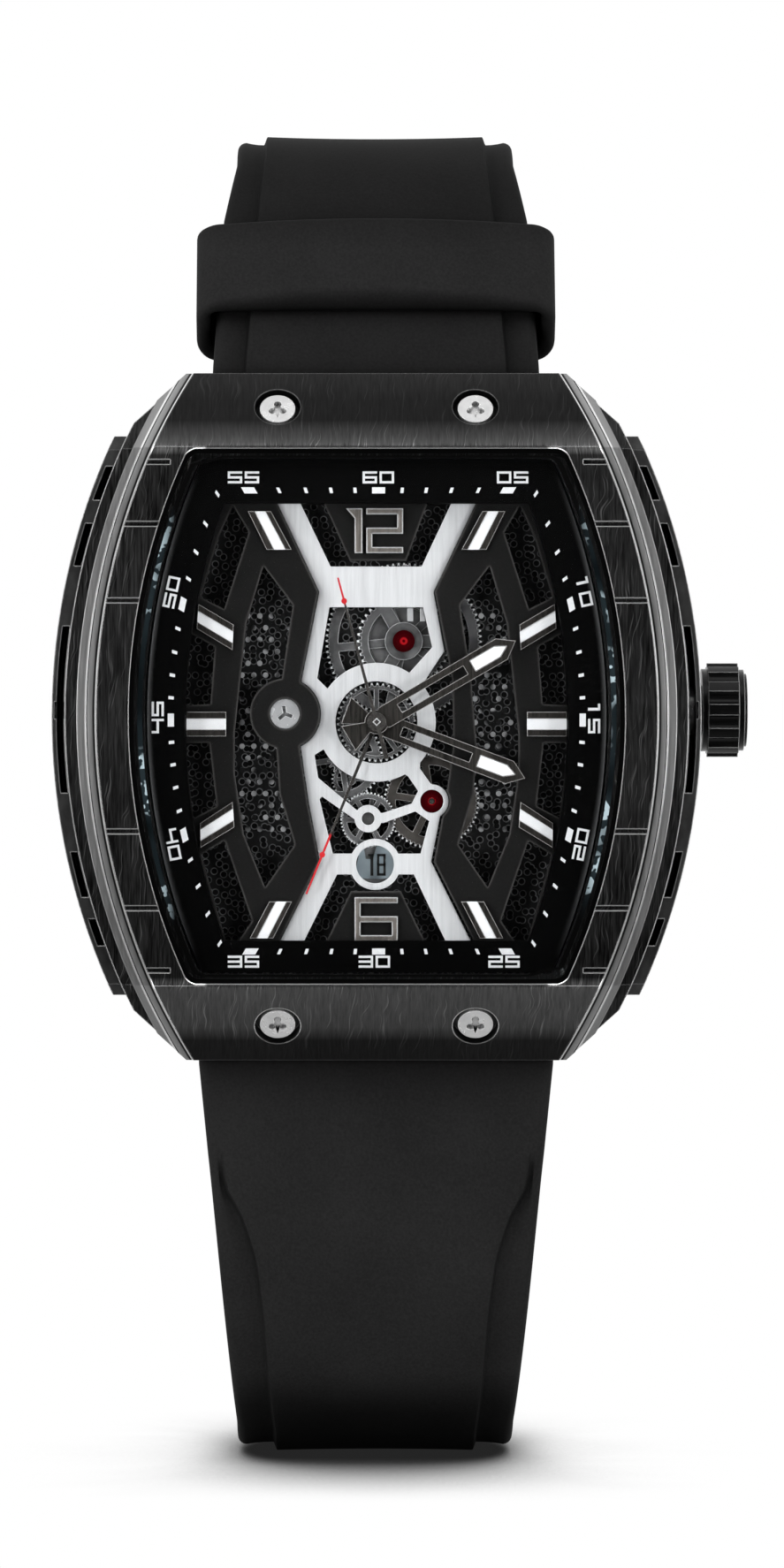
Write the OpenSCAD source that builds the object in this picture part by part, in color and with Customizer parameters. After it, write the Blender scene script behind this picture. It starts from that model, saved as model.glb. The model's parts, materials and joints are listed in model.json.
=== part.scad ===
// Tonneau skeleton wristwatch with an open-worked dial, an automatic
// movement and a rubber strap closed by a pin buckle.
// Row frame: +Z to 12 o'clock, +X to 3 o'clock, the dial faces -Y, and
// y = 0 is the outer face of the case back. The pieces of the watch head
// are drawn lying down, with their height above the case back as z, and
// stand() turns them upright. All lengths are in millimetres.

/* [Case] */
// Width of the case over its side rails
case_w = 46; // [44:0.5:49]
// Height of the case from 12 to 6 o'clock
case_l = 48.8; // [47:0.2:51]
// Thickness at the middle of the bezel
case_h = 14.6; // [14.6:0.2:16]
// Radius of the long side curves
side_r = 48.3; // [44:0.5:60]
// Radius of the front curve from 12 to 6 o'clock
front_r = 70; // [60:1:90]
// Length of the flat end bands
band_l = 5.4; // [4.6:0.1:5.8]
// Slope of the end bands in degrees
band_tilt = 37.5; // [30:0.5:40]
// Offset of the case above the axis of the hands
case_off = 0.4; // [0:0.1:0.6]
// Thickness of the bezel, measured along the height
bezel_t = 3.2; // [3:0.1:3.6]
// Width of the front plate of the bezel
plate_w = 39.4; // [38.6:0.2:39.8]
// Step down from the front plate to the inner rail
rail_step = 0.6; // [0.4:0.1:0.9]
// Width of each of the two bezel rails
rail_w = 0.7; // [0.5:0.05:0.8]
// Width of the crystal opening
opening_w = 34.8; // [34:0.2:35.2]
// Height of the crystal opening
opening_l = 37.7; // [37:0.1:38]
// Depth of the seams between the bezel bricks
seam_d = 0.35; // [0.2:0.05:0.5]
// Width of those seams
seam_w = 0.32; // [0.2:0.02:0.5]
// Thickness of the case back
back_t = 1.3; // [1.1:0.1:1.5]
// Radius of the glass in the case back
back_glass_r = 12.2; // [11.5:0.1:12.6]
// Clearance between parts that are laid into each other
gap = 0.06; // [0.04:0.01:0.1]

/* [Screws] */
// Radius of the recess of a bezel screw
screw_recess_r = 1.62; // [1.5:0.02:1.8]
// Radius of the head of a bezel screw
screw_head_r = 1.25; // [1.1:0.05:1.4]
// Distance between the two bezel screws of an end band
screw_pitch = 14; // [12:0.5:16]
// Distance of the bezel screws from the end of the case
screw_in = 2.5; // [2.2:0.1:2.8]

/* [Crystal and flange] */
// Thickness of the crystal
crystal_t = 1.6; // [1.4:0.1:1.8]
// Depth of the crystal below the top of the bezel
crystal_drop = 0.3; // [0.2:0.05:0.5]
// Width of the gasket round the crystal
gasket_w = 0.35; // [0.3:0.05:0.45]
// Width of the opening inside the flange
flange_in_w = 27; // [26.6:0.1:27.6]
// Height of the opening inside the flange
flange_in_l = 30.8; // [30.4:0.1:31.2]
// Width of the ledge that carries the crystal
ledge_w = 1.1; // [0.9:0.1:1.3]

/* [Dial side] */
// Height of the bridge's underside above the case back
bridge_h = 8.3; // [8.3:0.1:8.5]
// Thickness of the bridge
bridge_t = 0.6; // [0.5:0.1:0.8]
// Outer radius of the ring in the middle of the bridge
ring_r = 4.2; // [4:0.1:4.4]
// Radius of the window in that ring
ring_hole_r = 2.9; // [2.85:0.05:3.1]
// Outer radius of the frame of the date window
date_ring_r = 1.81; // [1.7:0.02:1.9]
// Radius of the date window
date_hole_r = 1.34; // [1.2:0.02:1.4]
// Thickness of the dark dial frame
frame_t = 1.2; // [1:0.1:1.3]
// Thickness of the hour markers
marker_t = 0.5; // [0.4:0.05:0.6]

/* [Hands] */
// Length of the minute hand from its axis
minute_len = 11.35; // [10.8:0.05:11.6]
// Length of the hour hand from its axis
hour_len = 11.2; // [10.4:0.05:11.4]
// Length of the seconds hand from its axis
seconds_len = 10.5; // [9.8:0.1:11]
// Width of the minute and hour hands
hand_w = 1.7; // [1.5:0.05:1.9]
// Angle of the minute hand, clockwise from 12 o'clock
minute_deg = 59.8; // [0:0.1:360]
// Angle of the hour hand, clockwise from 12 o'clock
hour_deg = 110.7; // [0:0.1:360]
// Angle of the seconds hand, clockwise from 12 o'clock
seconds_deg = 344.9; // [0:0.1:360]
// Length of the thin 24-hour hand from its axis
day_len = 13.1; // [12.4:0.1:13.2]
// Angle of the 24-hour hand, clockwise from 12 o'clock
day_deg = 202.3; // [0:0.1:360]

/* [Movement] */
// Radius of the movement
movement_r = 13; // [12.8:0.1:13.2]
// Thickness of the main plate
plate_t = 0.6; // [0.5:0.05:0.6]
// Teeth of the barrel
barrel_teeth = 88; // [80:1:96]
// Teeth of the pinion that the barrel drives
centre_pinion_teeth = 10; // [8:1:12]
// Teeth of the cannon pinion
cannon_teeth = 12; // [10:1:14]
// Teeth of the minute wheel
minute_wheel_teeth = 48; // [40:1:56]
// Teeth of the pinion on the minute wheel
minute_pinion_teeth = 14; // [12:1:16]
// Teeth of the hour wheel
hour_wheel_teeth = 42; // [36:1:48]
// Teeth of the centre wheel
centre_teeth = 80; // [72:1:84]
// Teeth of the third pinion
third_pinion_teeth = 10; // [8:1:12]
// Teeth of the wheel that drives the seconds pinion
drive_teeth = 75; // [70:1:80]
// Teeth of the seconds pinion
seconds_pinion_teeth = 10; // [8:1:12]
// Teeth of the wheel on the seconds arbor that drives the escape pinion
fourth_teeth = 70; // [64:1:72]
// Teeth of the escape pinion
escape_pinion_teeth = 7; // [7:1:8]
// Teeth of the escape wheel
escape_teeth = 20; // [15:1:20]
// Teeth of the pinion that drives the date wheel
date_pinion_teeth = 7; // [7:1:8]
// Teeth of the idler between that pinion and the date wheel
date_idler_teeth = 28; // [26:1:29]
// Teeth of the date wheel
date_wheel_teeth = 42; // [40:1:44]
// Teeth of the front third wheel
third_teeth = 60; // [50:1:66]
// Radius of the front third wheel
third_front_r = 3.3; // [3:0.05:3.4]
// Teeth of the ratchet wheel
ratchet_teeth = 42; // [36:1:48]
// Radius of the ratchet wheel
ratchet_r = 3.2; // [3:0.05:3.25]
// Radius of the balance wheel
balance_r = 3.6; // [3.2:0.1:3.7]
// Radius of the winding rotor
rotor_r = 12; // [11:0.1:12.4]

/* [Crown] */
// Height of the crown's axis above the middle of the dial
crown_y = 0.9; // [0.4:0.1:1.2]
// Height of the stem above the case back
stem_h = 4.9; // [4.85:0.05:5]
// Radius over the crown's ribs
crown_r = 3.35; // [3:0.05:3.6]
// Length of the crown
crown_len = 3.2; // [3:0.1:3.8]
// Number of ribs round the crown
crown_ribs = 12; // [8:1:18]
// Radius of the winding stem
stem_r = 0.5; // [0.4:0.05:0.55]

/* [Strap] */
// Thickness of the strap
strap_t = 3; // [2.6:0.1:3.2]
// Depth of the ledges beside the raised middle of the strap
ledge_d = 0.6; // [0.4:0.1:0.9]
// Width of the 12 o'clock strap at the case
upper_w = 23.4; // [22:0.1:24]
// Width of the 6 o'clock strap at the case
lower_w = 25.4; // [24.4:0.1:25.6]
// Width of both straps at the back of the loop
rear_w = 20.2; // [19.6:0.1:20.6]
// Height of the top of the loop above the axis of the hands
loop_top = 43.5; // [42:0.5:48]
// Depth of the bottom of the loop below the axis of the hands
loop_bottom = 53.7; // [52:0.5:58]
// Depth of the loop behind the case back, to the middle of the strap
loop_depth = 28; // [26:0.5:34]
// Backward slope of the 12 o'clock strap at the case, in degrees
upper_tilt = 25; // [20:1:30]
// Backward slope of the 6 o'clock strap at the case, in degrees
lower_tilt = 5; // [3:1:10]
// Distance of the front keeper's near end from the case
keeper_start = 4.5; // [4:0.1:6]
// Distance of the front keeper's far end from the case
keeper_end = 11.2; // [10:0.1:11.4]
// Outward bow of the front keeper's face
keeper_bow = 1.2; // [0.6:0.1:1.6]
// Wall of the keepers
keeper_t = 1; // [0.9:0.1:1.4]
// Clearance round the strap in a keeper
keeper_gap = 0.2; // [0.2:0.05:0.5]
// Thickness of the buckle frame
buckle_t = 1.9; // [1.8:0.1:2.4]
// Length of the buckle from its bar to its far end
buckle_len = 13; // [12:0.5:15]
// Width of the buckle's tang
tang_w = 1.8; // [1.4:0.1:2]
// Radius of the bar that carries the buckle
bar_r = 0.6; // [0.5:0.05:0.7]

/* [Hidden] */
$fn = 64;
eps = 0.01;
run = 0.03; // radial running clearance of pivots and tubes

// Colours of the finishes
black_steel = "#2b2b2d";
satin_grey = "#6f7072";
steel = "#c4c6c8";
silver_white = "#dedede";
dark_grey = "#4b4b4c";
charcoal = "#262525";
bronze = "#6e6862";
lume_white = "#f6f6f4";
brass = "#b5985a";
ruby = "#b00018";
rubber = "#202021";
date_grey = "#c3d0d6";

// Distances from the middle of the case to its end bands, bezel screws,
// strap screws and strap slots
band_y = case_l / 2 - band_l;
screw_y = case_l / 2 - screw_in;
strap_screw_y = case_l / 2 - 2.1;
slot_y = case_l / 2 - 3.6;

// Heights of the layers above the case back
rotor_h = back_t + 0.4;
train_bridge_h = 3.4;
train_bridge_t = 0.75;
main_plate_h = 6 - plate_t;
date_disc_h = 6.1;
mesh_h = 6.3;
mesh_t = 0.3;
pin_plate_t = 0.2;
pin_h = mesh_h + mesh_t + pin_plate_t;
wheel_t = 0.25;
level_a = 7.05;
level_b = 7.4;
level_c = 7.8;
frame_h = 8.3;
marker_h = frame_h + frame_t;
hour_h = bridge_h + bridge_t + 1.55;
day_h = hour_h - 0.35;
hand_t = 0.25;
minute_h = hour_h + hand_t + 0.25;
seconds_h = minute_h + hand_t + 0.25;
crystal_top = case_h - crystal_drop;
crystal_low = crystal_top - crystal_t;

// Places of the axes on the dial
barrel_at = [1.94, 5.75];
minute_wheel_at = [-2.5, -2.59];
date_wheel_at = [-0.59, -6.9];
third_at = [3.92, -5.58];
date_window_at = [-0.1, -10.04];
boss_at = [-6.48, 0.59];
boss_r = 2.48;
setting_r = 1.19;
escape_at = [-3.1, 1.05];
balance_at = [-8.4, -0.8];

function dist(a, b) = norm(b - a);
function heading(a, b) = atan2(b[1] - a[1], b[0] - a[0]);
// Pitch radius of the first of two meshed wheels a given distance apart
function pitch_r(d, n1, n2) = d * n1 / (n1 + n2);
// Turn of the second wheel that puts its teeth in the gaps of the first
function mesh_turn(phi, turn, n1, n2) =
    phi + 180 + ((phi - turn) / (360 / n1) - 0.5) * 360 / n2;

// Twice the area inside a ring of points, negative when it runs clockwise
function turn_sum(p) = [for (i = [0 : len(p) - 1]) cross(p[i], p[(i + 1) % len(p)])] * [for (q = p) 1];

// Polygon whose points may run either way
module outline(p) polygon(turn_sum(p) < 0 ? [for (i = [len(p) - 1 : -1 : 0]) p[i]] : p);

// Turns a piece drawn lying on the case back into the row frame
module stand() rotate([90, 0, 0]) children();

// An upright plate between two heights
module slab(low, high) translate([0, 0, low]) linear_extrude(height = high - low) children();

// A side profile, drawn as (along the strap, height), carried across the case
module across(width) rotate([90, 0, 90]) linear_extrude(height = width, center = true) children();

// Outline with two bowed sides and straight ends
module barrel_shape(w, l, r) {
    intersection() {
        translate([w / 2 - r, 0]) circle(r = r, $fn = 128);
        translate([r - w / 2, 0]) circle(r = r, $fn = 128);
        square([w + 1, l], center = true);
    }
}

// The same outline with its corners rounded to the radius c. The corner
// circles stand out by a hair, so that they cross the sides cleanly.
hair = 0.02;
module soft_barrel(w, l, r, c) {
    middle = [w / 2 - r + sqrt(pow(r - c, 2) - pow(l / 2 - c, 2)), l / 2 - c];
    lean = asin((l / 2 - c) / (r - c));
    difference() {
        barrel_shape(w, l, r);
        for (sx = [-1, 1], sy = [-1, 1]) difference() {
            outline([for (k = [[0, 0], [0, 3 * c], [3 * c, 3 * c], 3 * c * [cos(lean), sin(lean)]])
                     [sx * (middle[0] + k[0]), sy * (middle[1] + k[1])]]);
            translate([sx * (middle[0] + hair), sy * (middle[1] + hair)]) circle(r = c);
        }
    }
}

// Side profile of everything below the front surface lowered by d
module below_front(d) {
    drop = case_h - front_r + sqrt(front_r * front_r - band_y * band_y);
    slope = tan(band_tilt);
    reach = 0.6 * case_l;
    translate([case_off, -d]) intersection() {
        translate([0, case_h - front_r]) circle(r = front_r, $fn = 128);
        outline([[-reach, -5], [-reach, drop - (reach - band_y) * slope],
                 [0, drop + band_y * slope],
                 [reach, drop - (reach - band_y) * slope], [reach, -5]]);
    }
}

// A plan outline carried through the layer between two depths below the front
module layer(top, bottom) {
    intersection() {
        translate([0, case_off, 0]) slab(-1, case_h + 6) children();
        across(case_w + 10) difference() {
            below_front(top);
            below_front(bottom);
        }
    }
}

rail_2_w = plate_w + 2 * rail_w;
rail_1_w = plate_w + 4 * rail_w;
body_w = case_w - 2;

// Outline of the case with its four corners cut at an angle, along a line
// through a point on the end and one beyond the side
corner_end_x = 13.3;
corner_run = [7.1, -6.7];
module cut_corners(w) {
    near = [corner_end_x, case_l / 2 + 0.2];
    far = near + 1.3 * corner_run;
    intersection() {
        barrel_shape(w, case_l, side_r);
        outline([for (s = [[1, 1], [-1, 1], [-1, -1], [1, -1]],
                      p = (s[0] * s[1] > 0 ? [far, near] : [near, far]))
                 [s[0] * p[0], s[1] * p[1]]]);
    }
}

// Places of the four bezel screws, with the slope of their band
module at_bezel_screws() {
    for (x = [-1, 1] * screw_pitch / 2, y = [-1, 1])
        translate([x, y * screw_y + case_off, band_top(screw_y)])
            rotate([-y * band_tilt, 0, 0]) children();
}

// Height of the end band at a distance from the middle of the case
function band_top(y) = case_h - front_r + sqrt(front_r * front_r - band_y * band_y)
    - (y - band_y) * tan(band_tilt);

seams = [8.1, 13.5, 17.9];

above = -4; // depth of a cutter's top, clear of the front surface

module bezel() color(black_steel) stand() {
    difference() {
        layer(0, bezel_t) difference() {
            cut_corners(rail_1_w);
            soft_barrel(opening_w - 2 * ledge_w, opening_l - 1.4, side_r - 3.2, 1);
        }
        // Steps down to the two rails
        layer(above, rail_step) difference() {
            square(60, center = true);
            barrel_shape(plate_w, 50, side_r - 0.7);
        }
        layer(above, 2 * rail_step) difference() {
            square(60, center = true);
            barrel_shape(rail_2_w, 50, side_r);
        }
        // Seat of the crystal
        layer(above, crystal_drop + crystal_t) soft_barrel(opening_w, opening_l, side_r - 3.2, 1.2);
        // Seams between the bricks
        layer(above, seam_d) for (s = [-1, 1], y = seams, x = [-1, 1])
            translate([x * (plate_w + opening_w) / 4, s * y]) square([8, seam_w], center = true);
        at_bezel_screws() {
            translate([0, 0, -0.9]) cylinder(r = screw_recess_r, h = 3);
            translate([0, 0, -3.5]) cylinder(r = 0.62, h = 3);
        }
    }
}

module bezel_screws() color(steel) stand() {
    at_bezel_screws() difference() {
        union() {
            translate([0, 0, -0.9]) cylinder(r = screw_head_r, h = 0.72);
            translate([0, 0, -3.4]) cylinder(r = 0.6, h = 2.6);
        }
        // Lobed drive: three round lobes and a pointed notch
        translate([0, 0, -0.55]) linear_extrude(height = 1) {
            for (a = [90, 210, 330]) rotate(a) translate([0.42, 0]) circle(r = 0.27, $fn = 24);
            circle(r = 0.3, $fn = 24);
            outline([[-0.2, -0.2], [0, -0.85], [0.2, -0.2]]);
        }
    }
}

module crystal() color("#dfe8ee") stand()
    layer(crystal_drop, crystal_drop + crystal_t - 0.02)
        soft_barrel(opening_w - 2 * gasket_w, opening_l - 2 * gasket_w, side_r - 3.5, 1);

module crystal_gasket() color("#0c0c0d") stand()
    layer(crystal_drop + 0.05, crystal_drop + crystal_t - 0.02) difference() {
        soft_barrel(opening_w - 0.02, opening_l - 0.02, side_r - 3.2, 1.2);
        soft_barrel(opening_w - 2 * gasket_w + 0.02, opening_l - 2 * gasket_w + 0.02, side_r - 3.5, 1);
    }

cavity_w = opening_w - 2.4;
cavity_l = opening_l - 1;
slot_low = 1.9;
slot_high = 4.3;
foot_h = 0.7;
end_step = 0.8; // how far the bezel reaches beyond the middle of the case
back_w = 40;
back_l = case_l - 8.2;

// Places of the screws of the strap and of the case back
strap_screw_x = 7.5;
module at_strap_screws()
    for (x = [-1, 1] * strap_screw_x, y = [-1, 1] * strap_screw_y)
        translate([x, y + case_off, 0]) children();
back_screw_x = 16.5;
back_screw_y = 12;
module at_back_screws()
    for (x = [-1, 1] * back_screw_x, y = [-1, 1] * back_screw_y) translate([x, y + case_off, 0]) children();

module case_middle() color(black_steel) stand() {
    difference() {
        intersection() {
            translate([0, case_off, 0]) slab(foot_h, case_h) intersection() {
                cut_corners(body_w);
                square([60, case_l - 2 * end_step], center = true);
            }
            across(case_w + 10) below_front(bezel_t);
        }
        translate([0, case_off, 0]) slab(0, case_h) barrel_shape(cavity_w, cavity_l, side_r - 3.2);
        translate([0, case_off, 0]) slab(0, back_t) barrel_shape(back_w + 2 * gap, back_l + 2 * gap, side_r);
        for (end = [[upper_w, 1], [lower_w, -1]])
            translate([-end[0] / 2 - gap, end[1] > 0 ? slot_y + case_off : -slot_y - 9 + case_off, slot_low])
                cube([end[0] + 2 * gap, 9, slot_high - slot_low]);
        at_strap_screws() translate([0, 0, -1]) cylinder(r = 0.55, h = 4);
        at_strap_screws() translate([0, 0, 0]) cylinder(r = 1.1, h = 1.3);
        at_back_screws() translate([0, 0, 0]) cylinder(r = 0.52, h = 3.4);
        at_bezel_screws() translate([0, 0, -3.5]) cylinder(r = 0.62, h = 3);
        translate([0, crown_y, stem_h]) rotate([0, 90, 0]) cylinder(r = tube_r, h = 40);
    }
}

// Notches along a side rail, as [middle, length] measured from 6 to 12 o'clock
rail_slots = [[16.6, 2.4], [12.2, 3], [0.5, 11.8], [-11.2, 3.2], [-15.3, 1.9]];
// Raised blocks between them, as [middle, length]
rail_blocks = [[19, 2], [8.4, 2.6], [-7.6, 2.8], [-18.2, 2.6]];

rail_low = 3;
rail_high = 8.6;
module side_rail() {
    difference() {
        intersection() {
            translate([0, case_off, 0]) slab(rail_low, rail_high + 1.4) difference() {
                intersection() {
                    barrel_shape(case_w, 40, side_r);
                    translate([10, -19.8]) square([20, 40]);
                }
                barrel_shape(body_w + 2 * gap, 44, side_r);
            }
            across(case_w + 10) translate([0, -5]) below_front(0);
        }
        for (s = rail_slots) translate([case_w / 2 - side_r, case_off, rail_low + 1.2])
            slab(0, rail_high) intersection() {
                difference() {
                    circle(r = side_r - 0.35, $fn = 128);
                    circle(r = side_r - 0.85, $fn = 128);
                }
                translate([0, s[0] - s[1] / 2]) square([side_r, s[1]]);
            }
        for (i = [0 : len(rail_blocks) - 2])
            translate([case_w / 2 - 4.2, (rail_blocks[i][0] - rail_blocks[i][1] / 2
                       + rail_blocks[i + 1][0] + rail_blocks[i + 1][1] / 2) / 2 + case_off, rail_high + 0.5])
                translate([0, -rail_step, 0]) cube([4, 2 * rail_step, 3]);
    }
}

module side_rail_right() color(black_steel) stand() difference() {
    side_rail();
    translate([0, crown_y, stem_h]) rotate([0, 90, 0]) cylinder(r = tube_r + 0.1, h = 40);
}
module side_rail_left() color(black_steel) stand() mirror([1, 0, 0]) side_rail();

tube_r = 1.75;
tube_end = case_w / 2 + 1.4;
module crown_tube() color(steel) stand() {
    translate([cavity_w / 2 + 1.5, crown_y, stem_h]) rotate([0, 90, 0]) difference() {
        cylinder(r = tube_r - 0.02, h = tube_end - cavity_w / 2 - 1.5);
        translate([0, 0, -1]) cylinder(r = stem_r + 0.1, h = 20);
    }
}

module winding_stem() color(steel) stand() {
    translate([7.6, crown_y, stem_h]) rotate([0, 90, 0]) {
        cylinder(r = stem_r, h = case_w / 2 + 2 - 7.6);
    }
}

crown_x = case_w / 2 + 0.2;
module crown() color("#161617") stand() {
    translate([crown_x, crown_y, stem_h]) rotate([0, 90, 0]) difference() {
        union() {
            cylinder(r = crown_r - 0.4, h = 0.5);
            translate([0, 0, 0.4]) cylinder(r = crown_r, h = crown_len - 1);
            translate([0, 0, crown_len - 0.6]) rotate_extrude() {
                square([crown_r - 0.75, 0.6]);
                square([crown_r - 0.45, 0.4]);
            }
        }
        translate([0, 0, -eps]) cylinder(r = tube_r + 0.05, h = 1.45);
        cylinder(r = stem_r + run, h = 2.2);
        for (i = [0 : crown_ribs - 1]) rotate(360 / crown_ribs * (i + 0.5))
            translate([crown_r + 0.22, 0, -1]) cylinder(r = 0.55, h = crown_len + 2, $fn = 24);
    }
}

module case_back() color(steel) stand() {
    difference() {
        translate([0, case_off, 0]) slab(0, back_t - gap) barrel_shape(back_w, back_l, side_r);
        translate([0, 0, -1]) cylinder(r = back_glass_r - 0.5, h = 4);
        translate([0, 0, -1]) cylinder(r = back_glass_r, h = 1.9);
        at_back_screws() {
            translate([0, 0, -1]) cylinder(r = 0.55, h = 4);
            translate([0, 0, -1]) cylinder(r = 1.25, h = 1.7);
        }
    }
}

module back_glass() color("#dfe8ee") stand() cylinder(r = back_glass_r - 0.02, h = 0.9);

module back_gasket() color("#0c0c0d") stand() {
    translate([0, 0, back_t - gap]) linear_extrude(height = gap) difference() {
        translate([0, case_off]) barrel_shape(cavity_w + 2.4, cavity_l + 2, side_r - 2);
        translate([0, case_off]) barrel_shape(cavity_w + 0.8, cavity_l + 0.4, side_r - 3);
    }
}

module slotted_screw(head_r, head_h, body_r, length) difference() {
    union() {
        cylinder(r = head_r, h = head_h);
        cylinder(r = body_r, h = length);
    }
    translate([-head_r, -0.15, -eps]) cube([2 * head_r, 0.3, 0.3]);
}

module back_screws() color(steel) stand() at_back_screws()
    translate([0, 0, 0.05]) slotted_screw(1.2, 0.62, 0.5, 3.2);

module strap_screws() color(steel) stand() at_strap_screws()
    translate([0, 0, foot_h + 0.05]) slotted_screw(1.05, 0.5, 0.5, 2.8);

// Toothed outline with the given number of teeth and pitch radius
module gear_shape(n, r) {
    m = 2 * r / n;
    p = 360 / n;
    outline([for (i = [0 : n - 1], k = [[-0.3, -1.1], [-0.13, 0.85], [0.13, 0.85], [0.3, -1.1]])
             (r + k[1] * m) * [cos((i + k[0]) * p), sin((i + k[0]) * p)]]);
}

// Gear outline opened between its rim and its hub, with spokes
module spoked_shape(n, r, rim, hub, spokes, spoke_w) {
    difference() {
        gear_shape(n, r);
        difference() {
            circle(r = r - rim);
            circle(r = hub);
            for (i = [0 : spokes - 1]) rotate(360 / spokes * i)
                translate([0, -spoke_w / 2]) square([r, spoke_w]);
        }
    }
}

module wheel(at, low, n, r, turn, rim, hub, spokes, spoke_w, bore)
    translate(at) slab(low, low + wheel_t) rotate(turn) difference() {
        spoked_shape(n, r, rim, hub, spokes, spoke_w);
        if (bore > 0) circle(r = bore);
    }

module pinion(at, low, high, n, r, turn)
    translate(at) slab(low, high) rotate(turn) gear_shape(n, r);

// Pitch radii and turns of the wheels that mesh
barrel_pitch = pitch_r(norm(barrel_at), barrel_teeth, centre_pinion_teeth);
centre_pinion_pitch = norm(barrel_at) - barrel_pitch;
barrel_turn = mesh_turn(heading([0, 0], barrel_at), 0, centre_pinion_teeth, barrel_teeth);
motion_d = norm(minute_wheel_at);
cannon_pitch = pitch_r(motion_d, cannon_teeth, minute_wheel_teeth);
minute_wheel_turn = mesh_turn(heading([0, 0], minute_wheel_at), 0, cannon_teeth, minute_wheel_teeth);
hour_pitch = pitch_r(motion_d, hour_wheel_teeth, minute_pinion_teeth);
hour_wheel_turn = mesh_turn(heading(minute_wheel_at, [0, 0]), minute_wheel_turn,
                            minute_pinion_teeth, hour_wheel_teeth);
// The idler stands on the line between the minute wheel and the date wheel
date_tooth = dist(minute_wheel_at, date_wheel_at) / (date_pinion_teeth + 2 * date_idler_teeth + date_wheel_teeth);
date_pinion_pitch = date_pinion_teeth * date_tooth;
date_idler_pitch = date_idler_teeth * date_tooth;
date_way = heading(minute_wheel_at, date_wheel_at);
date_idler_at = minute_wheel_at + (date_pinion_pitch + date_idler_pitch) * [cos(date_way), sin(date_way)];
date_idler_turn = mesh_turn(date_way, minute_wheel_turn, date_pinion_teeth, date_idler_teeth);
date_wheel_turn = mesh_turn(date_way, date_idler_turn, date_idler_teeth, date_wheel_teeth);
third_d = norm(third_at);
centre_pitch = pitch_r(third_d, centre_teeth, third_pinion_teeth);
third_turn = mesh_turn(heading([0, 0], third_at), 0, centre_teeth, third_pinion_teeth);
drive_pitch = pitch_r(third_d, drive_teeth, seconds_pinion_teeth);
seconds_turn = mesh_turn(heading(third_at, [0, 0]), third_turn, drive_teeth, seconds_pinion_teeth);
escape_d = norm(escape_at);
fourth_pitch = pitch_r(escape_d, fourth_teeth, escape_pinion_teeth);
escape_turn = mesh_turn(heading([0, 0], escape_at), seconds_turn, fourth_teeth, escape_pinion_teeth);

seconds_r = 0.15;
cannon_in = seconds_r + run;
cannon_out = 0.36;
hour_in = cannon_out + run;
hour_out = 0.58;
day_in = hour_out + run;
day_out = 0.76;
pivot_r = 0.2;
level_k0 = 5.1;
level_k1 = 4.78;
level_k2 = 4.48;
k_t = 0.18;
escape_h = 4.18;
low_pivot_h = train_bridge_h + 0.35;

module main_plate() color(satin_grey) stand() {
    difference() {
        union() {
            slab(main_plate_h, main_plate_h + plate_t) circle(r = movement_r, $fn = 128);
            slab(train_bridge_h + train_bridge_t, main_plate_h + eps) difference() {
                circle(r = movement_r, $fn = 128);
                circle(r = movement_r - 0.9, $fn = 128);
            }
        }
        cylinder(r = cannon_out + 0.08, h = 20);
        translate(third_at) cylinder(r = 0.4, h = 20);
        translate([third_at[0], third_at[1], level_k1 - 0.1]) cylinder(r = drive_pitch + 0.25, h = k_t + 0.2, $fn = 128);
        for (p = [barrel_at, minute_wheel_at, date_idler_at, date_wheel_at, balance_at])
            translate(p) cylinder(r = pivot_r + run, h = 20);
        translate([6, crown_y, stem_h]) rotate([0, 90, 0]) cylinder(r = stem_r + 0.1, h = 10);
    }
}

module train_bridge() color(steel) stand() {
    difference() {
        slab(train_bridge_h, train_bridge_h + train_bridge_t) difference() {
            circle(r = movement_r - 0.2, $fn = 128);
            translate(balance_at) circle(r = 2.3);
            translate(balance_at - [6, 1.5]) square([6, 3]);
        }
        translate([0, 0, train_bridge_h + 0.3]) cylinder(r = seconds_r + run, h = 5);
        translate([third_at[0], third_at[1], train_bridge_h + 0.3]) cylinder(r = pivot_r + run, h = 5);
        translate([escape_at[0], escape_at[1], train_bridge_h + 0.3]) cylinder(r = 0.15 + run, h = 5);
        translate([pallet_at[0], pallet_at[1], train_bridge_h + 0.3]) cylinder(r = 0.12 + run, h = 5);
    }
    // Post on which the rotor turns
    translate([0, 0, rotor_h + 0.1]) cylinder(r = 1, h = train_bridge_h - rotor_h);
}

module rotor() color(steel) stand() {
    difference() {
        union() {
            slab(rotor_h + 0.4, rotor_h + 0.8) intersection() {
                difference() {
                    circle(r = rotor_r, $fn = 128);
                    for (a = [-125, -90, -55]) rotate(a) translate([6.2, 0]) circle(r = 1.7);
                }
                translate([-rotor_r, -rotor_r]) square([2 * rotor_r, rotor_r + 0.6]);
            }
            slab(rotor_h, rotor_h + 1.3) intersection() {
                difference() {
                    circle(r = rotor_r, $fn = 128);
                    circle(r = rotor_r - 2.4, $fn = 128);
                }
                translate([-rotor_r, -rotor_r]) square([2 * rotor_r, rotor_r + 0.6]);
            }
            slab(rotor_h + 0.2, rotor_h + 1) circle(r = 2.2);
        }
        translate([0, 0, rotor_h - 1]) cylinder(r = 1 + run, h = 4);
    }
}

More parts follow.
